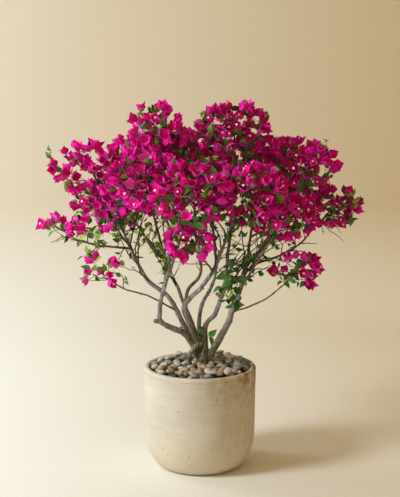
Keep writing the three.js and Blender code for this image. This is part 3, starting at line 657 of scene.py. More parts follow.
def mass_of(centre, reach, leaves=1.0, airy=1.0, size=1.0):
    """A mass from millimetres: leaves and airy are shares of what is usual, and size is its heads'."""
    return Mass(np.array(centre) * MM, np.array(reach) * MM, leaves, airy, size)


LEAFY = 9.0  # so many leaves that no bract is left
MASSES = {
    "mass_top_left": mass_of((-130, 0, 998), (84, 105, 78), airy=1.1),
    "mass_top_right": mass_of((100, 0, 1000), (110, 115, 78), airy=1.1),
    "mass_upper_left": mass_of((-320, -10, 890), (122, 92, 76), airy=1.15),
    "mass_left": mass_of((-288, -35, 790), (88, 92, 62)),
    "mass_far_left": mass_of((-404, -60, 718), (64, 58, 42), airy=1.15),
    "mass_left_spur": mass_of((-298, -105, 704), (52, 50, 38), airy=1.1),
    "mass_low_left": mass_of((-285, -110, 600), (60, 52, 52), 2, airy=1.2),
    "mass_mid_left": mass_of((-150, -60, 862), (120, 120, 92)),
    "mass_centre": mass_of((-15, 10, 902), (92, 105, 106)),
    "mass_front": mass_of((-28, -190, 826), (112, 96, 96)),
    "mass_front_right": mass_of((130, -165, 826), (116, 100, 102)),
    "mass_right": mass_of((290, 20, 884), (112, 112, 90)),
    "mass_far_right": mass_of((394, 50, 766), (96, 84, 64)),
    "mass_right_front": mass_of((236, -112, 757), (110, 98, 63)),
    "mass_low_right": mass_of((282, -62, 598), (74, 58, 56), 2.4, airy=1.15, size=1.05),
    "mass_inner_front": mass_of((-28, -130, 690), (72, 56, 58), 1.2, airy=1.05, size=1.08),
    "mass_leaf_spray": mass_of((88, -88, 562), (48, 44, 84), LEAFY, airy=0.82),
    "mass_back": mass_of((10, 230, 876), (118, 105, 102)),
    "mass_back_left": mass_of((-176, 190, 872), (128, 110, 108)),
    "mass_back_right": mass_of((196, 205, 866), (126, 110, 108)),
    "mass_back_left_low": mass_of((-232, 172, 752), (104, 92, 66)),
    "mass_back_right_low": mass_of((262, 190, 752), (104, 92, 66)),
    "mass_sprout": mass_of((16, -34, 400), (40, 30, 30), LEAFY, airy=0.68, size=0.82),
}
print(len(STEMS), "stems,", len(BOUGHS), "boughs,", len(MASSES), "masses")

# %% [markdown]
# A route is a Catmull-Rom curve: it passes through every bend and turns smoothly between them. It is
# sampled closely once, so that a limb is simply a row of points with a radius at each.

# %% Limbs
Limb = namedtuple("Limb", "name mass path radii fork")
SAMPLES = 480
ENTRY = 0.9  # where a limb ends, as a share of its mass's reach


def route_through(bends, shares):
    """Points on the smooth route through some bends, at shares from 0 to 1 of it."""
    bends = np.asarray(bends, float)
    padded = np.vstack([2 * bends[0] - bends[1], bends, 2 * bends[-1] - bends[-2]])
    place = np.asarray(shares) * (len(bends) - 1)
    first = np.minimum(place.astype(int), len(bends) - 2)
    t = (place - first)[:, None]
    a, b, c, d = (padded[first + k] for k in range(4))
    square, cube = 2 * a - 5 * b + 4 * c - d, 3 * b - a - 3 * c + d
    return 0.5 * (2 * b + (c - a) * t + square * t ** 2 + cube * t ** 3)


def entry_point(mass, bend):
    """Where the line from a limb's last bend to a mass's centre enters the mass."""
    line = mass.centre - bend
    return bend + line * (1 - ENTRY / np.linalg.norm(line / mass.reach))


def stem_limb(name, mass, foot, radii, bends):
    """A stem from its flared foot, past the fork, into its mass. The stub ends free."""
    foot_radius, fork_radius, tip_radius = np.array(radii) * MM
    x, y = (a + b for a, b in zip(CLUMP_CENTRE, foot))
    points = np.array([(x, y, RISES_FROM), (x, y, BENDS_FROM), *bends]) * MM
    if name != "stub":
        points = np.vstack([points, entry_point(MASSES[mass], points[-1])])
    shares = np.linspace(0, 1, SAMPLES)
    path = route_through(points, shares)
    fork = SAMPLES - 1 if name == "stub" else int(np.argmax(path[:, 2] >= FORK_HEIGHT))
    flare = FLARE * np.exp((SOIL_TOP - path[:, 2]) / FLARE_HEIGHT)
    low = mix(foot_radius, fork_radius, shares / shares[fork]) + flare
    high = mix(low[fork], tip_radius, (shares - shares[fork]) / max(1 - shares[fork], 1e-9))
    return Limb(name, mass, path, np.where(np.arange(SAMPLES) <= fork, low, high), fork)


def bough_limb(name, parent, height, mass, radii, bends):
    """A bough from its parent's axis at a height into its mass."""
    start = parent.path[int(np.argmax(parent.path[:, 2] >= height * MM))]
    points = np.vstack([start, np.array(bends) * MM])
    points = np.vstack([points, entry_point(MASSES[mass], points[-1])])
    shares = np.linspace(0, 1, SAMPLES)
    return Limb(name, mass, route_through(points, shares), mix(radii[0] * MM, radii[1] * MM, shares), 0)


limbs = {}
for name, mass, foot, radii, bends in STEMS:
    limbs[name] = stem_limb(name, mass, foot, radii, bends)
for name, carrier, height, mass, radii, bends in BOUGHS:
    limbs[name] = bough_limb(name, limbs[carrier], height, mass, radii, bends)
limb_into = {limb.mass: limb for limb in limbs.values()}
lengths = {name: np.linalg.norm(np.diff(limb.path, axis=0), axis=1).sum() for name, limb in limbs.items()}
print("longest limb:", max(lengths, key=lengths.get), round(max(lengths.values()), 2), "m")


# %% [markdown]
# ## Tubes
#
# Everything woody is a tube: rings of points set across a path. The rings must not twist against
# each other, so each ring's side direction is carried on from the one before. The helper makes many
# tubes of the same build at once, because thousands of twigs are needed later.

# %% Many tubes at once
def tube_rings(paths, radii, sides):
    """Ring points for tubes: paths is tubes x rings x 3, radii is tubes x rings."""
    along = unit(np.gradient(paths, axis=1))
    helper = np.where(np.abs(along[:, :1, 2:3]) < 0.9, [0.0, 0.0, 1.0], [1.0, 0.0, 0.0])[:, 0]
    side = unit(np.cross(helper, along[:, 0]))
    angle = TURN * np.arange(sides) / sides
    rings = np.empty((*radii.shape, sides, 3))
    for ring in range(paths.shape[1]):
        heading = along[:, ring]
        side = unit(side - heading * (side * heading).sum(-1, keepdims=True))
        other = np.cross(heading, side)
        spoke = side[:, None] * np.cos(angle)[:, None] + other[:, None] * np.sin(angle)[:, None]
        rings[:, ring] = paths[:, ring, None] + spoke * radii[:, ring, None, None]
    return rings


def tube_faces(tubes, rings, sides):
    """The triangles of those tubes, with a fan over each end."""
    i, j = np.meshgrid(np.arange(rings - 1), np.arange(sides), indexing="ij")
    a, b = (i * sides + j).ravel(), (i * sides + (j + 1) % sides).ravel()
    faces = np.vstack([np.column_stack([a, b, b + sides]), np.column_stack([a, b + sides, a + sides])])
    fan = np.array([(0, k + 1, k) for k in range(1, sides - 1)])
    faces = np.vstack([faces, fan, fan[:, ::-1] + (rings - 1) * sides])
    return (faces[None] + (np.arange(tubes) * rings * sides)[:, None, None]).reshape(-1, 3)


def tubes_of(paths, radii, sides):
    """The points and triangles of some closed tubes."""
    rings = tube_rings(paths, radii, sides)
    return rings.reshape(-1, 3), tube_faces(len(paths), paths.shape[1], sides)


def even_path(path, radii, step):
    """A path and its radii taken again at even distances, and those distances."""
    run = np.concatenate([[0], np.cumsum(np.linalg.norm(np.diff(path, axis=0), axis=1))])
    marks = np.linspace(0, run[-1], max(4, int(run[-1] / step) + 1))
    spread = np.column_stack([np.interp(marks, run, path[:, k]) for k in range(3)])
    return spread, np.interp(marks, run, radii), marks


# %% [markdown]
# ## Bark
#
# Old bougainvillea bark is pale grey with darker seams that run along the limb, rubbed lighter in
# patches, and dotted with small corky spots. It is browner near the foot, and so is younger wood. The
# finish layers stretched noise for the seams over slow patches, and the mesh carries the larger relief
# itself: slow lumps, long ridges, and a swelling wherever a leaf or twig once sat.

# %% Bark finish
UPRIGHT = (1.0, 1.0, 0.22)
GREY_FROM = (0.40, 0.47)  # the heights between which brown foot bark turns into grey stem bark


def bark_finish(name, seam, middle, pale, moss=0.0, low=None):
    """Bark in three tones, with a share of green on it, or with a browner tone low down."""
    bark = Finish(name, Specular_IOR_Level=0.25)
    patches = bark.pattern(MOTTLE, Scale=38.0, Detail=5.0, From=0.35, To=0.7)
    seams = bark.pattern(MOTTLE, Scale=210.0, Detail=8.0, From=0.3, To=0.6, Stretch=UPRIGHT)
    cork = bark.pattern(SPECKS, Scale=190.0, Size=0.22, Share=0.35)
    skin = bark.blend(patches, linear(*middle), linear(*pale))
    skin = bark.blend(seams, linear(*seam), skin)
    skin = bark.blend(cork, skin, linear(*pale), share=0.6)
    if low:
        skin = bark.blend(bark.ramp("Z", *GREY_FROM), bark.blend(seams, linear(*seam), linear(*low)), skin)
    if moss:
        green = bark.pattern(MOTTLE, Scale=24.0, Detail=4.0, From=0.5, To=0.75)
        skin = bark.blend(green, skin, linear(104, 106, 62), share=moss)
    bark.colour(skin)
    bark.roughness(seams, 0.95, 0.72)
    bark.bump(bark.pattern(RELIEF, Scale=300.0, Detail=8.0, Roughness=0.65, Stretch=UPRIGHT), 0.9 * MM, 0.6)
    return bark.material


foot_bark = bark_finish("old foot bark", (36, 32, 23), (102, 96, 76), (180, 174, 154), moss=0.35)
old_bark = bark_finish("grey stem bark", (96, 92, 90), (146, 146, 147), (188, 189, 192), low=(134, 124, 104))
young_bark = bark_finish("young brown bark", (82, 70, 52), (126, 112, 88), (160, 147, 120), moss=0.3)


# %% Bark relief
LUMP, RIDGE, FINE, SWELL = 0.14, 0.06, 0.03, 0.13  # heights, as shares of the limb's radius
NODE_GAP = (24, 58)  # millimetres from one old node to the next
NODE_WIDTH = 4.5 * MM


def bark_relief(rings, path, radii, marks, seed):
    """Pushes a limb's rings in and out: lumps, long ridges and a swelling at each old node."""
    random = np.random.default_rng(seed)
    nodes = np.cumsum(random.uniform(*NODE_GAP, int(marks[-1] / (NODE_GAP[0] * MM)) + 2)) * MM
    swelling = sum(np.exp(-((marks - node) / NODE_WIDTH) ** 2) for node in nodes if node < marks[-1])
    sides = rings.shape[1]
    for i, (middle, radius) in enumerate(zip(path, radii)):
        for j in range(sides):
            turn = TURN * j / sides
            lump = noise.noise(Vector(rings[i, j]) * 46 + Vector((seed, 0, 0)))
            ridge = noise.noise(Vector((3.2 * math.cos(turn), 3.2 * math.sin(turn), marks[i] * 26 + seed)))
            fine = noise.noise(Vector((7 * math.cos(turn), 7 * math.sin(turn), marks[i] * 70 + seed)))
            push = 1 + LUMP * lump + RIDGE * ridge + FINE * fine + SWELL * swelling[i]
            rings[i, j] = middle + (rings[i, j] - middle) * push
    return rings


# %% [markdown]
# The stems leave the foot as tubes, and the boughs leave the stems. Where a bough starts it has a
# collar, wood that has grown round its base, so its radius widens there and the joint looks grown.

# %% Stems and boughs
COLLAR, COLLAR_LENGTH = 0.45, 9 * MM
RING_STEP = 3.4 * MM
WANDER = 2.6  # millimetres that a limb strays from its route
WANDER_FROM = 30 * MM  # how far along it strays in full


def limb_mesh(limb, seed):
    """Ring points and triangles of one limb with its relief."""
    start = max(0, limb.fork - 6) if limb.fork else 0
    path, radii, marks = even_path(limb.path[start:], limb.radii[start:], RING_STEP)
    if not limb.fork:
        radii = radii * (1 + COLLAR * np.exp(-marks / COLLAR_LENGTH))
    drift = np.array([noise.noise_vector(Vector((mark * 24, seed, 0))) for mark in marks])
    path = path + drift * WANDER * MM * np.minimum(marks / WANDER_FROM, 1)[:, None]
    sides = 18 if radii[0] > 5 * MM else 12
    rings = tube_rings(path[None], radii[None], sides)[0]
    rings = bark_relief(rings, path, radii, marks, seed)
    return rings.reshape(-1, 3), tube_faces(1, len(path), sides)


stems = [limb for name, limb in limbs.items() if name.startswith("stem")]
boughs = [limb for name, limb in limbs.items() if name.startswith("bough")]
for name, group, finish in (("grey_stems", stems, old_bark), ("brown_boughs", boughs, young_bark)):
    part = joined([limb_mesh(limb, seed) for seed, limb in enumerate(group)])
    add_joined(name, part, finish, [limb.name for limb in group])

# %% [markdown]
# The foot is where the stems have grown into each other. Separate tubes would show sharp seams, so
# their lower parts are joined and passed through a voxel Remesh, which wraps one skin round all of
# them, and the skin is then pushed in and out like old wood.

# %% Gnarled foot
FOOT_OVERLAP = 34 * MM  # how far a leg of the foot runs on inside its stem
LEG_STEP, LEG_SIDES = 5 * MM, 20
LEG_TOP, LEG_BELOW = 0.72, 1.04  # a leg's width, as a share of its stem's
VOXEL = 1.7 * MM


def foot_leg(limb):
    """The part of a stem that goes into the foot, drawn in at its top to hide inside the stem."""
    run = np.linalg.norm(np.diff(limb.path, axis=0), axis=1).cumsum()
    last = min(int(np.searchsorted(run, run[limb.fork - 1] + FOOT_OVERLAP)), SAMPLES - 1)
    path, radii, marks = even_path(limb.path[:last], limb.radii[:last], LEG_STEP)
    left = (marks[-1] - marks) / FOOT_OVERLAP
    radii = radii * mix(LEG_TOP, LEG_BELOW, np.clip(left * 1.6, 0, 1))
    path[0, 2] = bed_base
    return tubes_of(path[None], radii[None], LEG_SIDES)


def remeshed(points, faces, voxel):
    """One skin round overlapping solids, by a voxel Remesh and a light smoothing."""
    draft = bpy.data.objects.new("draft", triangle_mesh("draft", points, faces))
    bpy.context.scene.collection.objects.link(draft)
    wrap = draft.modifiers.new("wrap", "REMESH")
    wrap.mode, wrap.voxel_size, wrap.use_smooth_shade = "VOXEL", voxel, True
    soften = draft.modifiers.new("soften", "SMOOTH")
    soften.factor, soften.iterations = 0.5, 3
    mesh = bpy.data.meshes.new_from_object(draft.evaluated_get(bpy.context.evaluated_depsgraph_get()))
    bpy.data.objects.remove(draft)
    return mesh


def knobs_on(limb, count, random):
    """Round swellings on a leg of the foot, where old shoots were cut and healed."""
    shape, faces = ball_shape(2)
    found = []
    for _ in range(count):
        k = random.integers(limb.fork // 5, limb.fork)
        out = directions(random, 1)[0] * [1, 1, 0.4]
        size = limb.radii[k] * random.uniform(0.55, 0.8)
        found.append((shape * size * [1, 1, 1.4] + limb.path[k] + out * limb.radii[k] * 0.75, faces))
    return found


# %% [markdown]
# One old root arches out of the foot and dives among the stones again, and a solid heart fills the
# space between the legs. Everything is then wrapped, and pushed in and out most where it is low.

# %% Old wood round the foot
ROOT_BENDS = [(10, -2, 366), (-12, -18, 360), (-29, -30, 340), (-30, -36, 316), (-19, -34, 292),
              (-8, -28, 278)]
HEART, HEART_REACH = (10, -3, 334), (17, 14, 42)  # where the legs have grown together
GNARLS = [(3.2, 62), (2.4, 150), (0.8, 420)]  # depth in millimetres, and how fine
GNARLED_BELOW, GNARLED_OVER, LEAST_GNARL = FORK_HEIGHT + 10 * MM, 60 * MM, 0.25


def surface_root():
    """A root that arches out of the foot's left side and goes down among the stones."""
    shares = np.linspace(0, 1, 60)
    path = route_through(np.array(ROOT_BENDS) * MM, shares)
    radii = (7.4 + 1.6 * np.cos(TURN * shares)) * MM
    return tubes_of(path[None], radii[None], LEG_SIDES)


legs = [limb for limb in limbs.values() if limb.fork]
random = np.random.default_rng(21)
knobs = [knob for limb in legs for knob in knobs_on(limb, 3, random)]
shape, faces = ball_shape(3)
heart = (shape * np.array(HEART_REACH) * MM + np.array(HEART) * MM, faces)
foot_parts = [foot_leg(limb) for limb in legs] + knobs + [surface_root(), heart]
foot_mesh = remeshed(*joined(foot_parts), VOXEL)
for point in foot_mesh.vertices:
    place = Vector((point.co.x, point.co.y, 0.35 * point.co.z))
    lower = min(1.0, max(LEAST_GNARL, (GNARLED_BELOW - point.co.z) / GNARLED_OVER))
    gnarl = sum(depth * noise.noise(place * fineness) for depth, fineness in GNARLS)
    point.co += point.normal * gnarl * lower * MM
    point.co.z = max(point.co.z, bed_base)
foot_mesh.name = "gnarled_foot"
foot_mesh.shade_smooth()
add_piece("gnarled_foot", foot_mesh, [foot_bark], ["trunk"])

# %% [markdown]
# Pruning leaves short stubs: a prong between a pencil and a finger thick that stands off the limb and
# ends in a flat cut with a rim of healed bark.

# %% Cut stubs
STUBS = [  # limb, height in mm, way that it points, length and radius in mm
    ("stem_left_elbow", 438, (-1.0, -0.3, 0.25), 17, 6.5),
    ("stem_left_elbow", 408, (0.2, -0.8, 0.9), 10, 4.5),
    ("stem_upright", 500, (-0.75, -0.35, 0.8), 16, 5.2),
    ("stem_right", 592, (-0.05, -0.2, 1.0), 30, 6.5),
    ("stem_right", 500, (0.7, -0.6, 0.5), 10, 4.2),
    ("stem_centre", 530, (0.9, -0.4, 0.4), 9, 3.6),
]
STUB_SIDES = 14


def stub_mesh(limb, height, way, length, radius, seed):
    """A short prong from a limb's axis to a cut end, whose last two rings dish the cut."""
    i = int(np.argmax(limb.path[:, 2] >= height * MM))
    start = limb.path[i]
    end = start + unit(way) * (limb.radii[i] + length * MM)
    shares = np.array([0, 0.2, 0.4, 0.6, 0.75, 0.88, 0.96, 1.0, 1.0, 0.985])
    widths = np.array([1.25, 1.1, 1.0, 0.95, 0.95, 1.02, 1.05, 0.95, 0.72, 0.3]) * radius * MM
    path = start + (end - start) * shares[:, None]
    path[-2:] += unit(way) * 1e-5 * np.array([[1], [-2]])
    rings = tube_rings(path[None], widths[None], STUB_SIDES)[0]
    for i, middle in enumerate(path):
        for j in range(STUB_SIDES):
            lump = noise.noise(Vector(rings[i, j]) * 110 + Vector((seed, 0, 0)))
            rings[i, j] = middle + (rings[i, j] - middle) * (1 + 0.16 * lump)
    return rings.reshape(-1, 3), tube_faces(1, len(path), STUB_SIDES)


cut_stubs = [stub_mesh(limbs[name], *rest, seed) for seed, (name, *rest) in enumerate(STUBS)]
add_joined("cut_stubs", joined(cut_stubs), old_bark)

# %% [markdown]
# ## How the crown grows
#
# Every mass keeps to a space of its own: its ellipsoid, cut by a wall against each neighbour. Its
# limb runs on through the middle as the mass's own stem. Places for twig ends are tried all round
# the space, the outer ones first, and each twig springs from the nearest growth that is already
# there, so later twigs branch from earlier ones and the crown fills from the inside out.

# %% A mass's space
WALL_GAP = 3 * MM


def space_of(name):
    """The mass, and a test for points: inside its ellipsoid and on its own side of every wall."""
    mass = MASSES[name]
    others = [other for key, other in MASSES.items() if key != name]
    lines = np.array([other.centre - mass.centre for other in others])
    normals = unit(lines)
    own = 1 / np.linalg.norm(normals / mass.reach, axis=1)
    theirs = 1 / np.linalg.norm(normals / np.array([other.reach for other in others]), axis=1)
    walls = mass.centre + lines * (own / (own + theirs))[:, None]

    def holds(points, margin):
        inside = np.linalg.norm((points - mass.centre) / (mass.reach - margin), axis=-1) <= 1
        depth = ((points[:, None] - walls) * normals).sum(-1)
        return inside & (depth < -WALL_GAP).all(-1)

    return mass, holds


# %% [markdown]
# A twig is a cubic Bezier curve. It leaves its carrier between the carrier's heading and the
# straight line to its end, and it arrives along the axis that its flowers will face, so the crown
# turns outwards and a little up, as plants do towards light.

# %% Growing one mass
TIP_SPACING = 34.5 * MM
SHORT_WAY = 0.3  # how much a twig prefers growth near the limb
LIFT, SCATTER = 0.45, 0.35
HEAD_MARGIN = 17 * MM
JOINTS = 14
TWIG_RINGS = 7
OUTER_TRIES = 0.6  # share of the tries that go to the skin of the mass
OUTER, INNER = (0.86, 1.05), (0.25, 1)  # how far out those and the others lie
TIP_ROOM = 6 * MM  # how far into its head's margin a tip may go
STEM_PAST = 0.45  # how far a mass's stem runs past the middle, as a share of the way there
AHEAD = 0.35  # how much a twig prefers a carrier that heads its way
TOO_NEAR = 8 * MM
LEAVE_ALONG, LEAVE_TOWARDS, ARRIVE = 0.12, 0.24, 0.3  # the pull of a twig's carrier, end and axis
Twig = namedtuple("Twig", "path carrier axis direction spray")


def bezier(start, leaving, arriving, end, count):
    """Points on a cubic curve that is pulled towards two points on its way."""
    t = np.linspace(0, 1, count)[:, None]
    u = 1 - t
    return u ** 3 * start + 3 * u ** 2 * t * leaving + 3 * u * t ** 2 * arriving + t ** 3 * end


def tips_in(space, random, tries):
    """Places for twig ends, each with its direction from the centre, outer ones first."""
    mass, holds = space
    way = directions(random, tries)
    near_skin = np.arange(tries) < OUTER_TRIES * tries
    depth = np.where(near_skin, random.uniform(*OUTER, tries), random.uniform(*INNER, tries))
    place, found = np.zeros((tries, 3)), np.zeros(tries, bool)
    for draw in np.arange(1, 0.5, -0.04):
        tried = mass.centre + way * (mass.reach - HEAD_MARGIN) * (depth * draw)[:, None]
        fits = holds(tried, HEAD_MARGIN - TIP_ROOM) & ~found
        place[fits], found = tried[fits], found | fits
    kept = []
    for i in np.flatnonzero(found):
        if not kept or np.linalg.norm(place[kept] - place[i], axis=1).min() > TIP_SPACING * mass.airy:
            kept.append(i)
    return place[kept], way[kept]


def mass_stem(limb, mass):
    """The limb's run on through the middle of its mass."""
    start, heading = limb.path[-1], unit(limb.path[-1] - limb.path[-6])
    line = mass.centre - start
    bends = [start, start + heading * 0.3 * np.linalg.norm(line), mass.centre,
             mass.centre + STEM_PAST * line]
    return route_through(bends, np.linspace(0, 1, 4 * JOINTS + 1))


def grow_mass(name, limb, random):
    """All twigs of one mass, each with the twig that carries it. Carrier -1 is the mass's stem."""
    space = space_of(name)
    mass = space[0]
    stem = mass_stem(limb, mass)
    at = list(stem[4::4])
    heading = list(unit(np.gradient(stem, axis=0))[4::4])
    back = list(np.linspace(0, np.linalg.norm(np.diff(stem, axis=0), axis=1).sum(), JOINTS + 1)[1:])
    owner, spray = [-1] * JOINTS, list(range(JOINTS))
    tips, ways = tips_in(space, random, int(9000 * mass.reach.mean()))
    order = np.argsort(np.linalg.norm(tips - limb.path[-1], axis=1))
    twigs = []
    for tip, way in zip(tips[order], ways[order]):
        axis = unit(way + [0, 0, LIFT] + SCATTER * directions(random, 1)[0])
        reach = tip - np.array(at)
        distance = np.linalg.norm(reach, axis=1)
        forward = (reach * np.array(heading)).sum(-1) / np.maximum(distance, 1e-6)
        cost = distance * (1 + AHEAD - AHEAD * forward) + SHORT_WAY * np.array(back)
        cost = cost + (distance < TOO_NEAR)
        j = int(np.argmin(cost))
        start, length = at[j], distance[j]
        path = bezier(start, start + heading[j] * LEAVE_ALONG * length + reach[j] * LEAVE_TOWARDS,
                      tip - axis * ARRIVE * length, tip, TWIG_RINGS)
        branch = len(twigs) + JOINTS if owner[j] < 0 else spray[j]
        twigs.append(Twig(path, owner[j], axis, way, branch))
        turn = unit(np.gradient(path, axis=0))
        for k in (2, 3, 4, 5):
            at.append(path[k])
            heading.append(turn[k])
            back.append(back[j] + length * k / (TWIG_RINGS - 1))
            owner.append(len(twigs) - 1)
            spray.append(branch)
    return stem, twigs


crown = {}
for number, name in enumerate(MASSES):
    crown[name] = grow_mass(name, limb_into[name], np.random.default_rng(71 + number))
print("crown has", sum(len(twigs) for _, twigs in crown.values()), "twigs")


# %% [markdown]
# ## Twigs
#
# A twig is as thick as what it carries needs: one that feeds many ends is thicker. Counting from the
# last twig back to the first gives each twig its number of ends, and a power of that number gives
# the radius at its base.

# %% Twig tubes
TIP_RADIUS = 0.75 * MM
PIPE = 0.42
MOST_TWIG = 2.6 * MM
STEM_END = 1.3 * MM  # the radius where a mass's own stem ends


def twig_radii(twigs):
    """The radii along each twig, from the number of ends that it feeds."""
    feeds = np.ones(len(twigs))
    for i in range(len(twigs) - 1, -1, -1):
        if twigs[i].carrier >= 0:
            feeds[twigs[i].carrier] += feeds[i]
    base = np.minimum(TIP_RADIUS * feeds ** PIPE, MOST_TWIG)
    return mix(base[:, None], TIP_RADIUS, np.linspace(0, 1, TWIG_RINGS)[None] ** 0.8)


wood_parts = []
for name, (stem, twigs) in crown.items():
    thickness = np.linspace(limb_into[name].radii[-1], STEM_END, len(stem))
    wood_parts.append(tubes_of(stem[None], thickness[None], 7))
    wood_parts.append(tubes_of(np.array([twig.path for twig in twigs]), twig_radii(twigs), 4))
print("twigs so far:", sum(len(faces) for _, faces in wood_parts), "triangles")

# %% [markdown]
# Under the flowers the limbs are not bare: short side shoots stand off them all the way up, some
# with leaves and some dry. They start on a limb's own axis and reach out and up from it.

# %% Side shoots
SHOOT_GAP = (18 * MM, 46 * MM)
SHOOT_LENGTH = (35, 105)  # in millimetres
SHOOT_RADIUS, SHOOT_CROOK = 1.8 * MM, 1.6 * MM
SHOOTS_FROM, SHOOTS_SPREAD = 0.52, 0.08  # the height where they begin, and how uneven it is
CLOSER = 0.6  # on busy limbs
LEAFY_SIDE = -80 * MM
BUSY_LIMBS = ["stem_left_long", "stem_left_elbow", "stem_right", "stem_centre", "bough_left_low",
              "bough_right_arm", "bough_right_low", "bough_right_front"]
Shoot = namedtuple("Shoot", "path radius leafy")


def leafy_share(place):
    """Shoots on the left side bear more leaves than those in the shade of the crown."""
    return 0.85 if place[0] < LEAFY_SIDE else 0.3


def crooked(path, amount, random):
    """A path whose middle points are pushed about, as a twig turns a little at every node."""
    pushes = random.normal(0, amount, path.shape)
    pushes[[0, -1]] = 0
    return path + pushes


def side_shoots(limb, random):
    """Short shoots along one limb, from the height where leaves begin."""
    path, radii, marks = even_path(limb.path, limb.radii, 4 * MM)
    heading = unit(np.gradient(path, axis=0))
    shoots, mark = [], random.uniform(*SHOOT_GAP)
    closer = CLOSER if limb.name in BUSY_LIMBS else 1.0
    while mark < marks[-1]:
        i = int(np.searchsorted(marks, mark))
        if path[i, 2] > SHOOTS_FROM + SHOOTS_SPREAD * random.random():
            out = unit(np.cross(heading[i], directions(random, 1)[0]))
            length = random.uniform(*SHOOT_LENGTH) * MM
            way = unit(out + 0.55 * heading[i] + [0, 0, 0.35])
            end = path[i] + way * length
            bow = directions(random, 1)[0] * 0.08 * length
            third = way * 0.33 * length
            curve = bezier(path[i], path[i] + third + bow, end - third + bow, end, TWIG_RINGS)
            curve = crooked(curve, SHOOT_CROOK, random)
            shoots.append(Shoot(curve, SHOOT_RADIUS, random.random() < leafy_share(end)))
        mark += closer * random.uniform(*SHOOT_GAP)
    return shoots


# %% [markdown]
# Two more kinds of thin wood fill the space under the crown. Risers leave a stem low down and climb
# into the flowers, and a few dry, thorny twiglets stand out under the start of a mass.

# %% Risers and dry twiglets
CROWN_BASE = 0.74  # the height above which the crown is full
RISES_ABOVE, RISERS_EACH = 0.43, 9
RISER_RADIUS = (2.1, 3.4)  # in millimetres
NEAREST, FARTHEST, LEAST_CLIMB = 90 * MM, 250 * MM, 50 * MM
LEAST_AIM = 0.72  # how well a goal has to lie ahead and above: 1 is straight on
DRY_LENGTH = (45, 95)  # in millimetres


def risers(limb, goals, random):
    """Thin boughs that leave a limb below the crown and rise into it."""
    found = []
    under = (limb.path[:, 2] > RISES_ABOVE) & (limb.path[:, 2] < CROWN_BASE)
    for i in random.choice(np.flatnonzero(under), RISERS_EACH):
        start, heading = limb.path[i], unit(limb.path[i] - limb.path[i - 6])
        line = goals - start
        far = np.linalg.norm(line, axis=1)
        steep = (line * unit(heading + [0, 0, 0.6])).sum(-1) / far
        in_reach = (far > NEAREST) & (far < FARTHEST) & (line[:, 2] > LEAST_CLIMB)
        fit = np.flatnonzero(in_reach & (steep > LEAST_AIM))
        if len(fit):
            goal = goals[random.choice(fit)]
            bow = directions(random, 1)[0] * 0.1 * np.linalg.norm(goal - start)
            leave = start + heading * 30 * MM
            path = bezier(start, leave, mix(leave, goal, 0.6) + bow, goal, TWIG_RINGS)
            path = crooked(path, 3 * MM, random)
            radius = random.uniform(*RISER_RADIUS) * MM
            found.append(Shoot(path, radius, random.random() < leafy_share(goal)))
    return found


def dry_twiglets(stem, count, random):
    """Bare thorny twigs that stand out and down under the start of a mass."""
    found = []
    for i in random.integers(3, len(stem) // 2, count):
        heading = unit((stem[i] - stem[i - 3]) * [1, 1, 0.2])
        length = random.uniform(*DRY_LENGTH) * MM
        way = unit(heading + random.normal(0, 0.5, 3) - [0, 0, 0.45])
        end = stem[i] + unit(way + [0, 0, 0.2]) * length
        path = bezier(stem[i], stem[i] + way * 0.3 * length, mix(stem[i], end, 0.7), end, TWIG_RINGS)
        found.append(Shoot(crooked(path, 2 * MM, random), 1.6 * MM, False))
    return found


random = np.random.default_rng(5)
carriers = [limb for limb in limbs.values() if limb.name != "stub"]
goals = np.vstack([stem[:28] for name, (stem, _) in crown.items()
                   if MASSES[name].centre[2] > CROWN_BASE])
shoots = [shoot for limb in carriers for shoot in side_shoots(limb, random)]
shoots += [shoot for limb in stems for shoot in risers(limb, goals, random)]
for name, count in (("mass_far_right", 14), ("mass_far_left", 3), ("mass_low_left", 3)):
    shoots += dry_twiglets(crown[name][0], count, random)
shoot_paths = np.array([shoot.path for shoot in shoots])
thinning = np.linspace(1, 0.42, TWIG_RINGS)  # a shoot's width from its base to its end
shoot_radii = np.array([shoot.radius * thinning for shoot in shoots])
wood_parts.append(tubes_of(shoot_paths, shoot_radii, 5))
print(len(shoots), "side shoots")

# %% [markdown]
# Bougainvillea has thorns, at uneven distances along its limbs and shoots. Each is a thin cone that
# stands out from the wood and bends a little along it.

# %% Thorns
def thorns_on(path, radius, gap, length, random):
    """Thorn paths along a limb or a twig."""
    points, radii, marks = even_path(path, np.broadcast_to(radius, len(path)), 3 * MM)
    heading = unit(np.gradient(points, axis=0))
    found, mark = [], random.uniform(*gap)
    while mark < marks[-1]:
        i = int(np.searchsorted(marks, mark))
        out = unit(np.cross(heading[i], directions(random, 1)[0]))
        foot = points[i] + out * radii[i] * 0.7
        tip = foot + (out + 0.35 * heading[i]) * random.uniform(*length)
        found.append([foot, mix(foot, tip, 0.5) + out * 0.4 * MM, tip])
        mark += random.uniform(*gap)
    return found


LIMB_GAP, LIMB_THORN = (30 * MM, 80 * MM), (5 * MM, 9 * MM)
TWIG_GAP, TWIG_THORN = (14 * MM, 40 * MM), (3.5 * MM, 7 * MM)
thorns = []
for limb in limbs.values():
    thorns += thorns_on(limb.path[limb.fork:], limb.radii[limb.fork:], LIMB_GAP, LIMB_THORN, random)
for shoot in shoots:
    thorns += thorns_on(shoot.path, 1.0 * MM, TWIG_GAP, TWIG_THORN, random)
thorn_radii = np.tile([1.1 * MM, 0.6 * MM, 0.08 * MM], (len(thorns), 1))
wood_parts.append(tubes_of(np.array(thorns), thorn_radii, 4))
print(len(thorns), "thorns")

# %% [markdown]
# ## Bracts, flowers and leaves
#
# What looks like the flower is three papery bracts that stand round a tiny white tube. A bract is a
# pointed oval, cupped across and curved along, so the three make a small lantern. The blade is built
# from rows across a curving middle line, and the same builder makes a leaf with other numbers.

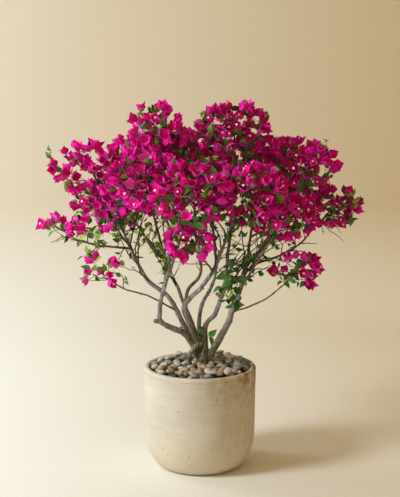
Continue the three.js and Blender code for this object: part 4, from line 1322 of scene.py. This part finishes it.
# %% A curved blade
def blade(outline, length, bends, cup, crease, columns, ruffle=0.0, phase=0.0):
    """A pointed blade that rises along +Z and opens towards +X, as points and triangles.

    outline has (share of the length, half width as a share of the length) pairs, and bends has the
    angle between the middle line and +Z at the root, the middle and the tip. ruffle is the height of
    the waves along its two edges as a share of the length.
    """
    shares = np.array([share for share, _ in outline])
    angle = np.interp(shares, [0, 0.5, 1], bends)
    steps = np.diff(shares, prepend=0)[:, None] * length
    line = np.cumsum(steps * np.column_stack([np.sin(angle), 0 * angle, np.cos(angle)]), axis=0)
    inward = np.column_stack([-np.cos(angle), 0 * angle, np.sin(angle)])
    across = np.linspace(-1, 1, columns)
    points, rows = [], []
    for place, to_axis, (share, width) in zip(line, inward, outline):
        spots = across if width > 0 else [0.0]
        rows.append(range(len(points), len(points) + len(spots)))
        for v in spots:
            lift = (cup * v ** 2 + crease * abs(v)) * width * length
            lift += ruffle * v ** 2 * math.sin(1.6 * TURN * share + phase + 2 * v) * length
            points.append(place + to_axis * lift + np.array([0, v * width * length, 0]))
    faces = []
    for low, high in zip(rows, rows[1:]):
        if len(low) == len(high) == 1:
            continue
        if len(low) == 1:
            faces += [(low[0], high[k + 1], high[k]) for k in range(len(high) - 1)]
        elif len(high) == 1:
            faces += [(low[k], low[k + 1], high[0]) for k in range(len(low) - 1)]
        else:
            faces += [(low[k], low[k + 1], high[k + 1]) for k in range(len(low) - 1)]
            faces += [(low[k], high[k + 1], high[k]) for k in range(len(low) - 1)]
    return np.array(points), np.array(faces)


# %% Flower heads
BRACT_OUTLINE = [(0, 0), (0.08, 0.22), (0.22, 0.38), (0.4, 0.44), (0.57, 0.4), (0.74, 0.27), (0.88, 0.11),
                 (1, 0)]
BRACT_LENGTH = 31 * MM
HEAD_VARIETY = 5  # shapes for each way that a head opens
HEAD_BENDS = [  # how far a bract leans out at its root, middle and tip
    (1.3, 0.3, 0.2),  # half open
    (1.35, 0.55, 0.4),  # open
    (1.4, 0.85, 0.8),  # wide open
    (1.1, 0.1, -0.15),  # shut
]


def flower_head(bends, random):
    """Three bracts round an axis, a little unlike each other."""
    parts = []
    for petal in range(3):
        own = [angle + random.normal(0, 0.1) for angle in bends]
        length = BRACT_LENGTH * random.uniform(0.88, 1.08)
        cup, crease, phase = random.uniform(0.15, 0.5), random.uniform(0.1, 0.35), random.uniform(0, TURN)
        points, faces = blade(BRACT_OUTLINE, length, own, cup, crease, 7, 0.055, phase)
        points[:, 2] += 0.05 * points[:, 1] * random.normal(0, 1)
        parts.append((spun_about_z(points, TURN * petal / 3 + random.normal(0, 0.12)), faces))
    return joined(parts)


random = np.random.default_rng(3)
heads = [flower_head(bends, random) for bends in HEAD_BENDS for _ in range(HEAD_VARIETY)]
head_points, head_faces = np.array([points for points, _ in heads]), heads[0][1]
print(len(heads), "head shapes of", len(head_faces), "triangles")


# %% Leaves
LEAF_SHAPES = 12
LEAF_OUTLINE = [(0, 0.012), (0.16, 0.015), (0.26, 0.18), (0.44, 0.27), (0.66, 0.2), (0.86, 0.07), (1, 0)]


def leaf_shape(random):
    """A leaf of length one, folded a little along its middle."""
    bends = [0.25 + random.normal(0, 0.1), 0.65 + random.normal(0, 0.2), 1.15 + random.normal(0, 0.3)]
    return blade(LEAF_OUTLINE, 1.0, bends, 0.0, random.uniform(0.1, 0.5), 3)


leaf_shapes = [leaf_shape(random) for _ in range(LEAF_SHAPES)]
leaf_points, leaf_faces = np.array([points for points, _ in leaf_shapes]), leaf_shapes[0][1]
print(len(leaf_points), "leaf shapes of", len(leaf_faces), "triangles")


# %% [markdown]
# The true flower is a slim tube with a five-pointed white star at its mouth, about as wide as a pea.
# Only some heads have one open.

# %% Star flowers
def star_flower():
    """A tube and the star over its mouth, whose points and notches take turns round it."""
    path = np.array([[(0, 0, 2), (0, 0, 12), (0, 0, 22)]]) * MM
    tube = tubes_of(path, np.array([[0.7, 1.0, 1.0]]) * MM, 5)
    angle = TURN * np.arange(10) / 10
    reach = np.where(np.arange(10) % 2, 2.2, 4.2) * MM
    rim = np.column_stack([reach * np.cos(angle), reach * np.sin(angle), np.full(10, 23 * MM)])
    star = (np.vstack([[0, 0, 21 * MM], rim]), np.array([(0, 1 + k, 1 + (k + 1) % 10) for k in range(10)]))
    return joined([tube, star])


star_points, star_faces = star_flower()
print("a star flower has", len(star_faces), "triangles")


# %% [markdown]
# ## Dealing them out
#
# Every twig end gets a small bunch: one head on the twig itself and often one or two beside it. Ends
# that point down more often bear leaves alone, and here and there a fresh shoot carries small pale
# leaves. Flowers of one spray mostly share a tint, so a tint is dealt to each spray first.

# %% Scatter helper
def facing(axes, rolls):
    """Rotations that turn +Z to each axis, with a roll about it."""
    helper = np.where(np.abs(axes[:, 2:3]) < 0.9, [0.0, 0.0, 1.0], [1.0, 0.0, 0.0])
    x = unit(np.cross(helper, axes))
    y = np.cross(axes, x)
    c, s = np.cos(rolls)[:, None], np.sin(rolls)[:, None]
    return np.stack([x * c + y * s, y * c - x * s, axes], axis=2)


def scattered(shapes, faces, which, places, axes, rolls, sizes):
    """Copies of some shapes, each turned, sized and placed, as one array of points and triangles."""
    turned = np.einsum("nij,nkj->nki", facing(axes, rolls), shapes[which] * sizes[:, None, None])
    points = (turned + places[:, None]).reshape(-1, 3)
    offsets = np.arange(len(which)) * shapes.shape[1]
    return points, (faces[None] + offsets[:, None, None]).reshape(-1, 3)


def add_scattered(name, shapes, faces, which, items, rolls, material, stands_for):
    """Puts a piece into the scene that has one shape at the place of each head or leaf."""
    places, axes, sizes = (np.array([getattr(item, field) for item in items])
                           for field in ("place", "axis", "size"))
    part = scattered(shapes, faces, which, places, axes, rolls, sizes)
    add_joined(name, part, material, stands_for)


# %% Tints, greens and leaves
Head = namedtuple("Head", "place axis shape size tint")
Leaf = namedtuple("Leaf", "place axis size tint")
TINTS = ["deep magenta", "magenta", "bright magenta", "pink magenta"]
# Painted light and shade: the lit left side gets more bright and pink tints, the shaded right more deep ones.
LIT_SIDE_TINTS, SHADE_SIDE_TINTS = [0.08, 0.34, 0.52, 0.06], [0.4, 0.42, 0.16, 0.02]
GREENS = ["dark leaf", "green leaf", "fresh leaf"]
PALER_GREENS_SIDE = -60 * MM  # to the left of this the leaves are paler: partly younger growth, partly painted light on the lit side
LEAF, SPRAY_LEAF, SHOOT_LEAF, SMALL_LEAF = 34, 42, 26, 24  # lengths in millimetres


def tint_at(place, random):
    """A tint for a place in the crown: the side that faces the light gets brighter tints, painted light, and
    the far side deeper ones, painted shade.
    """
    share = np.clip((place[0] + 0.35) / 0.55, 0, 1)
    return random.choice(len(TINTS), p=mix(np.array(LIT_SIDE_TINTS), np.array(SHADE_SIDE_TINTS), share))


def greens_at(place):
    """How the three greens are shared out at a place in the crown: paler ones on the lit left and darker ones
    elsewhere, partly younger growth and partly painted light and shade.
    """
    if place[0] > PALER_GREENS_SIDE:
        return [0.42, 0.52, 0.06]
    return [0.3, 0.52, 0.18] if place[2] > CROWN_BASE else [0.06, 0.34, 0.6]


def leaves_on(path, count, size, random, tints=None):
    """Leaves along a twig, each held off it to one side."""
    turn, tints = unit(np.gradient(path, axis=0)), tints or greens_at(path[-1])
    found = []
    for _ in range(count):
        k = random.integers(2, len(path))
        side = unit(np.cross(turn[k], directions(random, 1)[0]))
        way = unit(side + 0.5 * turn[k] + [0, 0, 0.1])
        length = size * random.uniform(0.7, 1.15)
        found.append(Leaf(path[k], way, length, random.choice(len(GREENS), p=tints)))
    return found


def depth_in(mass, place):
    """How far out a place lies in a mass: 0 in the middle, 1 on the outside."""
    return np.linalg.norm((place - mass.centre) / mass.reach)


# %% [markdown]
# Now every twig is dressed in turn. A mass that is leafy all through gets leaves alone. Elsewhere a
# twig first has a chance of leaves alone, then of being a fresh shoot, and if neither comes up it
# flowers.

# %% Deal heads and leaves
SHAPE_SHARES = np.repeat([0.46, 0.24, 0.04, 0.26], HEAD_VARIETY) / HEAD_VARIETY
LEAFY_TWIGS, LEAFY_LOW, LOW_FROM = 0.05, 0.3, 0.6  # chances of leaves alone, and where they rise
SHOOT_SHARE = 0.05  # of the twigs that point up
OUTSIDE = 0.72  # how far out in its mass a tip counts as outside
FEW_BESIDE, MANY_BESIDE = (0.42, 0.15), (0.75, 0.35)  # chances of a second and a third head
OWN_TINT = 0.6  # share of the heads that keep their spray's tint
HEAD_SIZES = (0.88, 1.18)
BESIDE_OUT, BESIDE_BACK = (11, 18), (0, 9)  # millimetres from the tip to a head beside it
STALK_LEAN = 0.9
FLOWERING_LEAVES, LOW_LEAVES = 1.3, 0.8  # how many leaves stand under the heads


def leaves_alone(twig, mass, low, random):
    """The leaves of a twig that has no flower, or None for a twig that flowers."""
    if mass.leaves >= LEAFY:
        return leaves_on(twig.path, random.integers(2, 4), mass.size * SPRAY_LEAF * MM, random)
    if random.random() < LEAFY_TWIGS * mass.leaves + LEAFY_LOW * max(0, low - LOW_FROM) / (1 - LOW_FROM):
        return leaves_on(twig.path, random.integers(3, 6), LEAF * MM, random)
    if random.random() < SHOOT_SHARE * (twig.direction[2] > 0):
        return leaves_on(twig.path[3:], 6, SMALL_LEAF * MM, random, [0, 0.2, 0.8])
    return None


def dress(twig, mass, spray_tint, random):
    """The heads, the leaves and the extra stalks of one twig."""
    low = 0.5 - 0.5 * twig.direction[2]
    alone = leaves_alone(twig, mass, low, random)
    if alone is not None:
        return [], alone, []
    heads, stalks = [], []
    tip = twig.path[-1]
    beside = FEW_BESIDE if depth_in(mass, tip) > OUTSIDE else MANY_BESIDE
    for n in range(1 + (random.random() < beside[0]) + (random.random() < beside[1])):
        tint = spray_tint if random.random() < OWN_TINT else tint_at(tip, random)
        size = mass.size * random.uniform(*HEAD_SIZES)
        shape = random.choice(len(SHAPE_SHARES), p=SHAPE_SHARES)
        side = unit(np.cross(twig.axis, directions(random, 1)[0]))
        place, axis = tip, twig.axis
        if n:
            place = tip + side * random.uniform(*BESIDE_OUT) * MM - axis * random.uniform(*BESIDE_BACK) * MM
            axis = unit(axis + STALK_LEAN * side)
            fork = twig.path[-3]
            stalks.append(bezier(fork, mix(fork, tip, 0.5), place - axis * 5 * MM, place, 4))
        heads.append(Head(place - axis * 3 * MM, axis, shape, size, tint))
    count = random.poisson(FLOWERING_LEAVES * mass.leaves + LOW_LEAVES * low)
    return heads, leaves_on(twig.path, count, LEAF * MM, random), stalks


random = np.random.default_rng(8)
all_heads, all_leaves, all_stalks = [], [], []
for name, (stem, twigs) in crown.items():
    tint_of = {twig.spray: tint_at(twig.path[-1], random) for twig in twigs}
    for twig in twigs:
        new_heads, new_leaves, new_stalks = dress(twig, MASSES[name], tint_of[twig.spray], random)
        all_heads += new_heads
        all_leaves += new_leaves
        all_stalks += new_stalks
print(len(all_heads), "heads,", len(all_leaves), "leaves,", len(all_stalks), "stalks")

# %% [markdown]
# A few young shoots stand out past the flowers and break the crown's outline. Four have a set place
# and the others are picked among the outermost twig ends that point up. Each carries small leaves
# that get smaller towards its end. The leafy side shoots under the crown get their leaves here too.

# %% Young shoots
YOUNG_ENDS = [(-172, -20, 1046), (178, -20, 1042), (352, -10, 942), (-428, -20, 930)]
YOUNG_PICKED = 8
YOUNG_LENGTH = 46 * MM
YOUNG_CEILING = 1.046
YOUNG_LEAVES = (30, 20)  # millimetres, at the shoot's base and at its end


def young_shoot(end, tips, random):
    """A green shoot with small leaves, from the nearest twig end outwards."""
    start = tips[np.argmin(np.linalg.norm(tips - end + [0, 0, 30 * MM], axis=1))]
    end = start + unit(end - start) * max(YOUNG_LENGTH, np.linalg.norm(end - start))
    end[2] = min(end[2], YOUNG_CEILING)
    side = unit(np.cross(end - start, directions(random, 1)[0])) * 6 * MM
    path = bezier(start, mix(start, end, 0.3) + side, mix(start, end, 0.7) + side, end, TWIG_RINGS)
    turn = unit(np.gradient(path, axis=0))
    leaves = []
    for k in range(2, TWIG_RINGS):
        out = unit(np.cross(turn[k], directions(random, 1)[0]))
        size = mix(*YOUNG_LEAVES, k / TWIG_RINGS) * MM
        green = random.choice(len(GREENS), p=[0, 0.35, 0.65])
        leaves.append(Leaf(path[k], unit(out + 0.6 * turn[k]), size, green))
    return path, leaves


tips = np.array([twig.path[-1] for _, twigs in crown.values() for twig in twigs])
outward = [twig for name, (_, twigs) in crown.items() for twig in twigs
           if twig.direction[2] > 0.35 and depth_in(MASSES[name], twig.path[-1]) > 0.75]
picked = [outward[i] for i in random.choice(len(outward), YOUNG_PICKED, replace=False)]
ends = [np.array(end) * MM for end in YOUNG_ENDS]
ends += [twig.path[-1] + unit(twig.direction + [0, 0, 0.4]) * YOUNG_LENGTH for twig in picked]
young_paths = []
for end in ends:
    young_path, young_leaves = young_shoot(end, tips, random)
    young_paths.append(young_path)
    all_leaves += young_leaves
for shoot in shoots:
    if shoot.leafy:
        all_leaves += leaves_on(shoot.path, random.integers(3, 8), SHOOT_LEAF * MM, random)
print(len(young_paths), "young shoots, and", len(all_leaves), "leaves in all")

# %% [markdown]
# A bract is thin and papery: a dull sheen, fine crinkles, and one strong colour. Each tint is a plain
# colour on the shader, and only the crinkles and the roughness vary over the blade.

# %% Bract and leaf finishes
# Magenta is the bracts' own colour. Deep magenta is a painted shade of it, bright magenta is painted light,
# and pink magenta is a painted highlight, for lamp light glowing through a thin bract.
BRACT_COLOURS = [(204, 2, 130), (234, 10, 160), (245, 34, 182), (240, 92, 194)]  # one for each tint
LEAF_COLOURS = [(36, 84, 22), (70, 128, 36), (150, 180, 80)]  # one for each green


def papery_finish(name, colour):
    """A bract's finish in one colour."""
    paper = Finish(name, Base_Color=linear(*colour), Specular_IOR_Level=0.14, Sheen_Weight=0.2,
                   Sheen_Roughness=0.4)
    crinkle = paper.pattern(RELIEF, Scale=260.0, Detail=4.0)
    paper.roughness(crinkle, 0.5, 0.8)
    paper.bump(crinkle, 0.8 * MM, 0.5)
    return paper.material


def leaf_finish(name, colour):
    """A leaf's finish in one green."""
    leaf = Finish(name, Base_Color=linear(*colour), Specular_IOR_Level=0.4)
    veins = leaf.pattern(RELIEF, Scale=180.0, Detail=3.0)
    leaf.roughness(veins, 0.35, 0.6)
    leaf.bump(veins, 0.6 * MM, 0.5)
    return leaf.material


bract_finishes = [papery_finish(*pair) for pair in zip(TINTS, BRACT_COLOURS)]
leaf_finishes = [leaf_finish(*pair) for pair in zip(GREENS, LEAF_COLOURS)]
print("finishes:", [finish.name for finish in bract_finishes + leaf_finishes])


# %% Blossom and leaf pieces
flowery = [name for name, mass in MASSES.items() if mass.leaves < LEAFY]
leafy = [name for name, mass in MASSES.items() if mass.leaves >= LEAFY]

for tint, (name, finish) in enumerate(zip(TINTS, bract_finishes)):
    chosen = [head for head in all_heads if head.tint == tint]
    which = np.array([head.shape for head in chosen])
    rolls = np.random.default_rng(tint).uniform(0, TURN, len(chosen))
    add_scattered("bracts_" + name.replace(" ", "_"), head_points, head_faces, which, chosen, rolls,
                  finish, flowery)

for green, (name, finish) in enumerate(zip(GREENS, leaf_finishes)):
    chosen = [leaf for leaf in all_leaves if leaf.tint == green]
    random = np.random.default_rng(40 + green)
    which = random.integers(0, len(leaf_points), len(chosen))
    rolls = random.uniform(0, TURN, len(chosen))
    add_scattered(name.replace(" leaf", "_leaves"), leaf_points, leaf_faces, which, chosen, rolls,
                  finish, leafy)

# %% White flowers
STAR_SHARES = np.repeat([0.6, 1.0, 1.0, 0.0], HEAD_VARIETY)  # of half open, open, wide and shut heads
LEFT_STARS = 0.4  # fewer are open on the left

cream = Finish("cream flower", Base_Color=linear(246, 240, 220), Specular_IOR_Level=0.3)
petal_grain = cream.pattern(RELIEF, Scale=500.0)
cream.roughness(petal_grain, 0.45, 0.7)
cream.bump(petal_grain, 0.3 * MM, 0.4)
random = np.random.default_rng(60)
open_heads = [head for head in all_heads
              if random.random() < STAR_SHARES[head.shape] * (1.0 if head.place[0] > 0 else LEFT_STARS)]
none = np.zeros(len(open_heads), int)
add_scattered("white_flowers", star_points[None], star_faces, none, open_heads, none,
              cream.material, flowery)

# %% Twig piece
STALK_RADII, YOUNG_RADII = (0.8 * MM, 0.6 * MM), (1.0 * MM, 0.6 * MM)  # at the base and at the end

stalk_radii = np.tile(np.linspace(*STALK_RADII, 4), (len(all_stalks), 1))
wood_parts.append(tubes_of(np.array(all_stalks), stalk_radii, 3))
young_radii = np.tile(np.linspace(*YOUNG_RADII, TWIG_RINGS), (len(young_paths), 1))
wood_parts.append(tubes_of(np.array(young_paths), young_radii, 4))
twig_bark = bark_finish("twig bark", (52, 42, 28), (94, 82, 56), (130, 117, 85), moss=0.6)
add_joined("twigs", joined(wood_parts), twig_bark, list(MASSES))
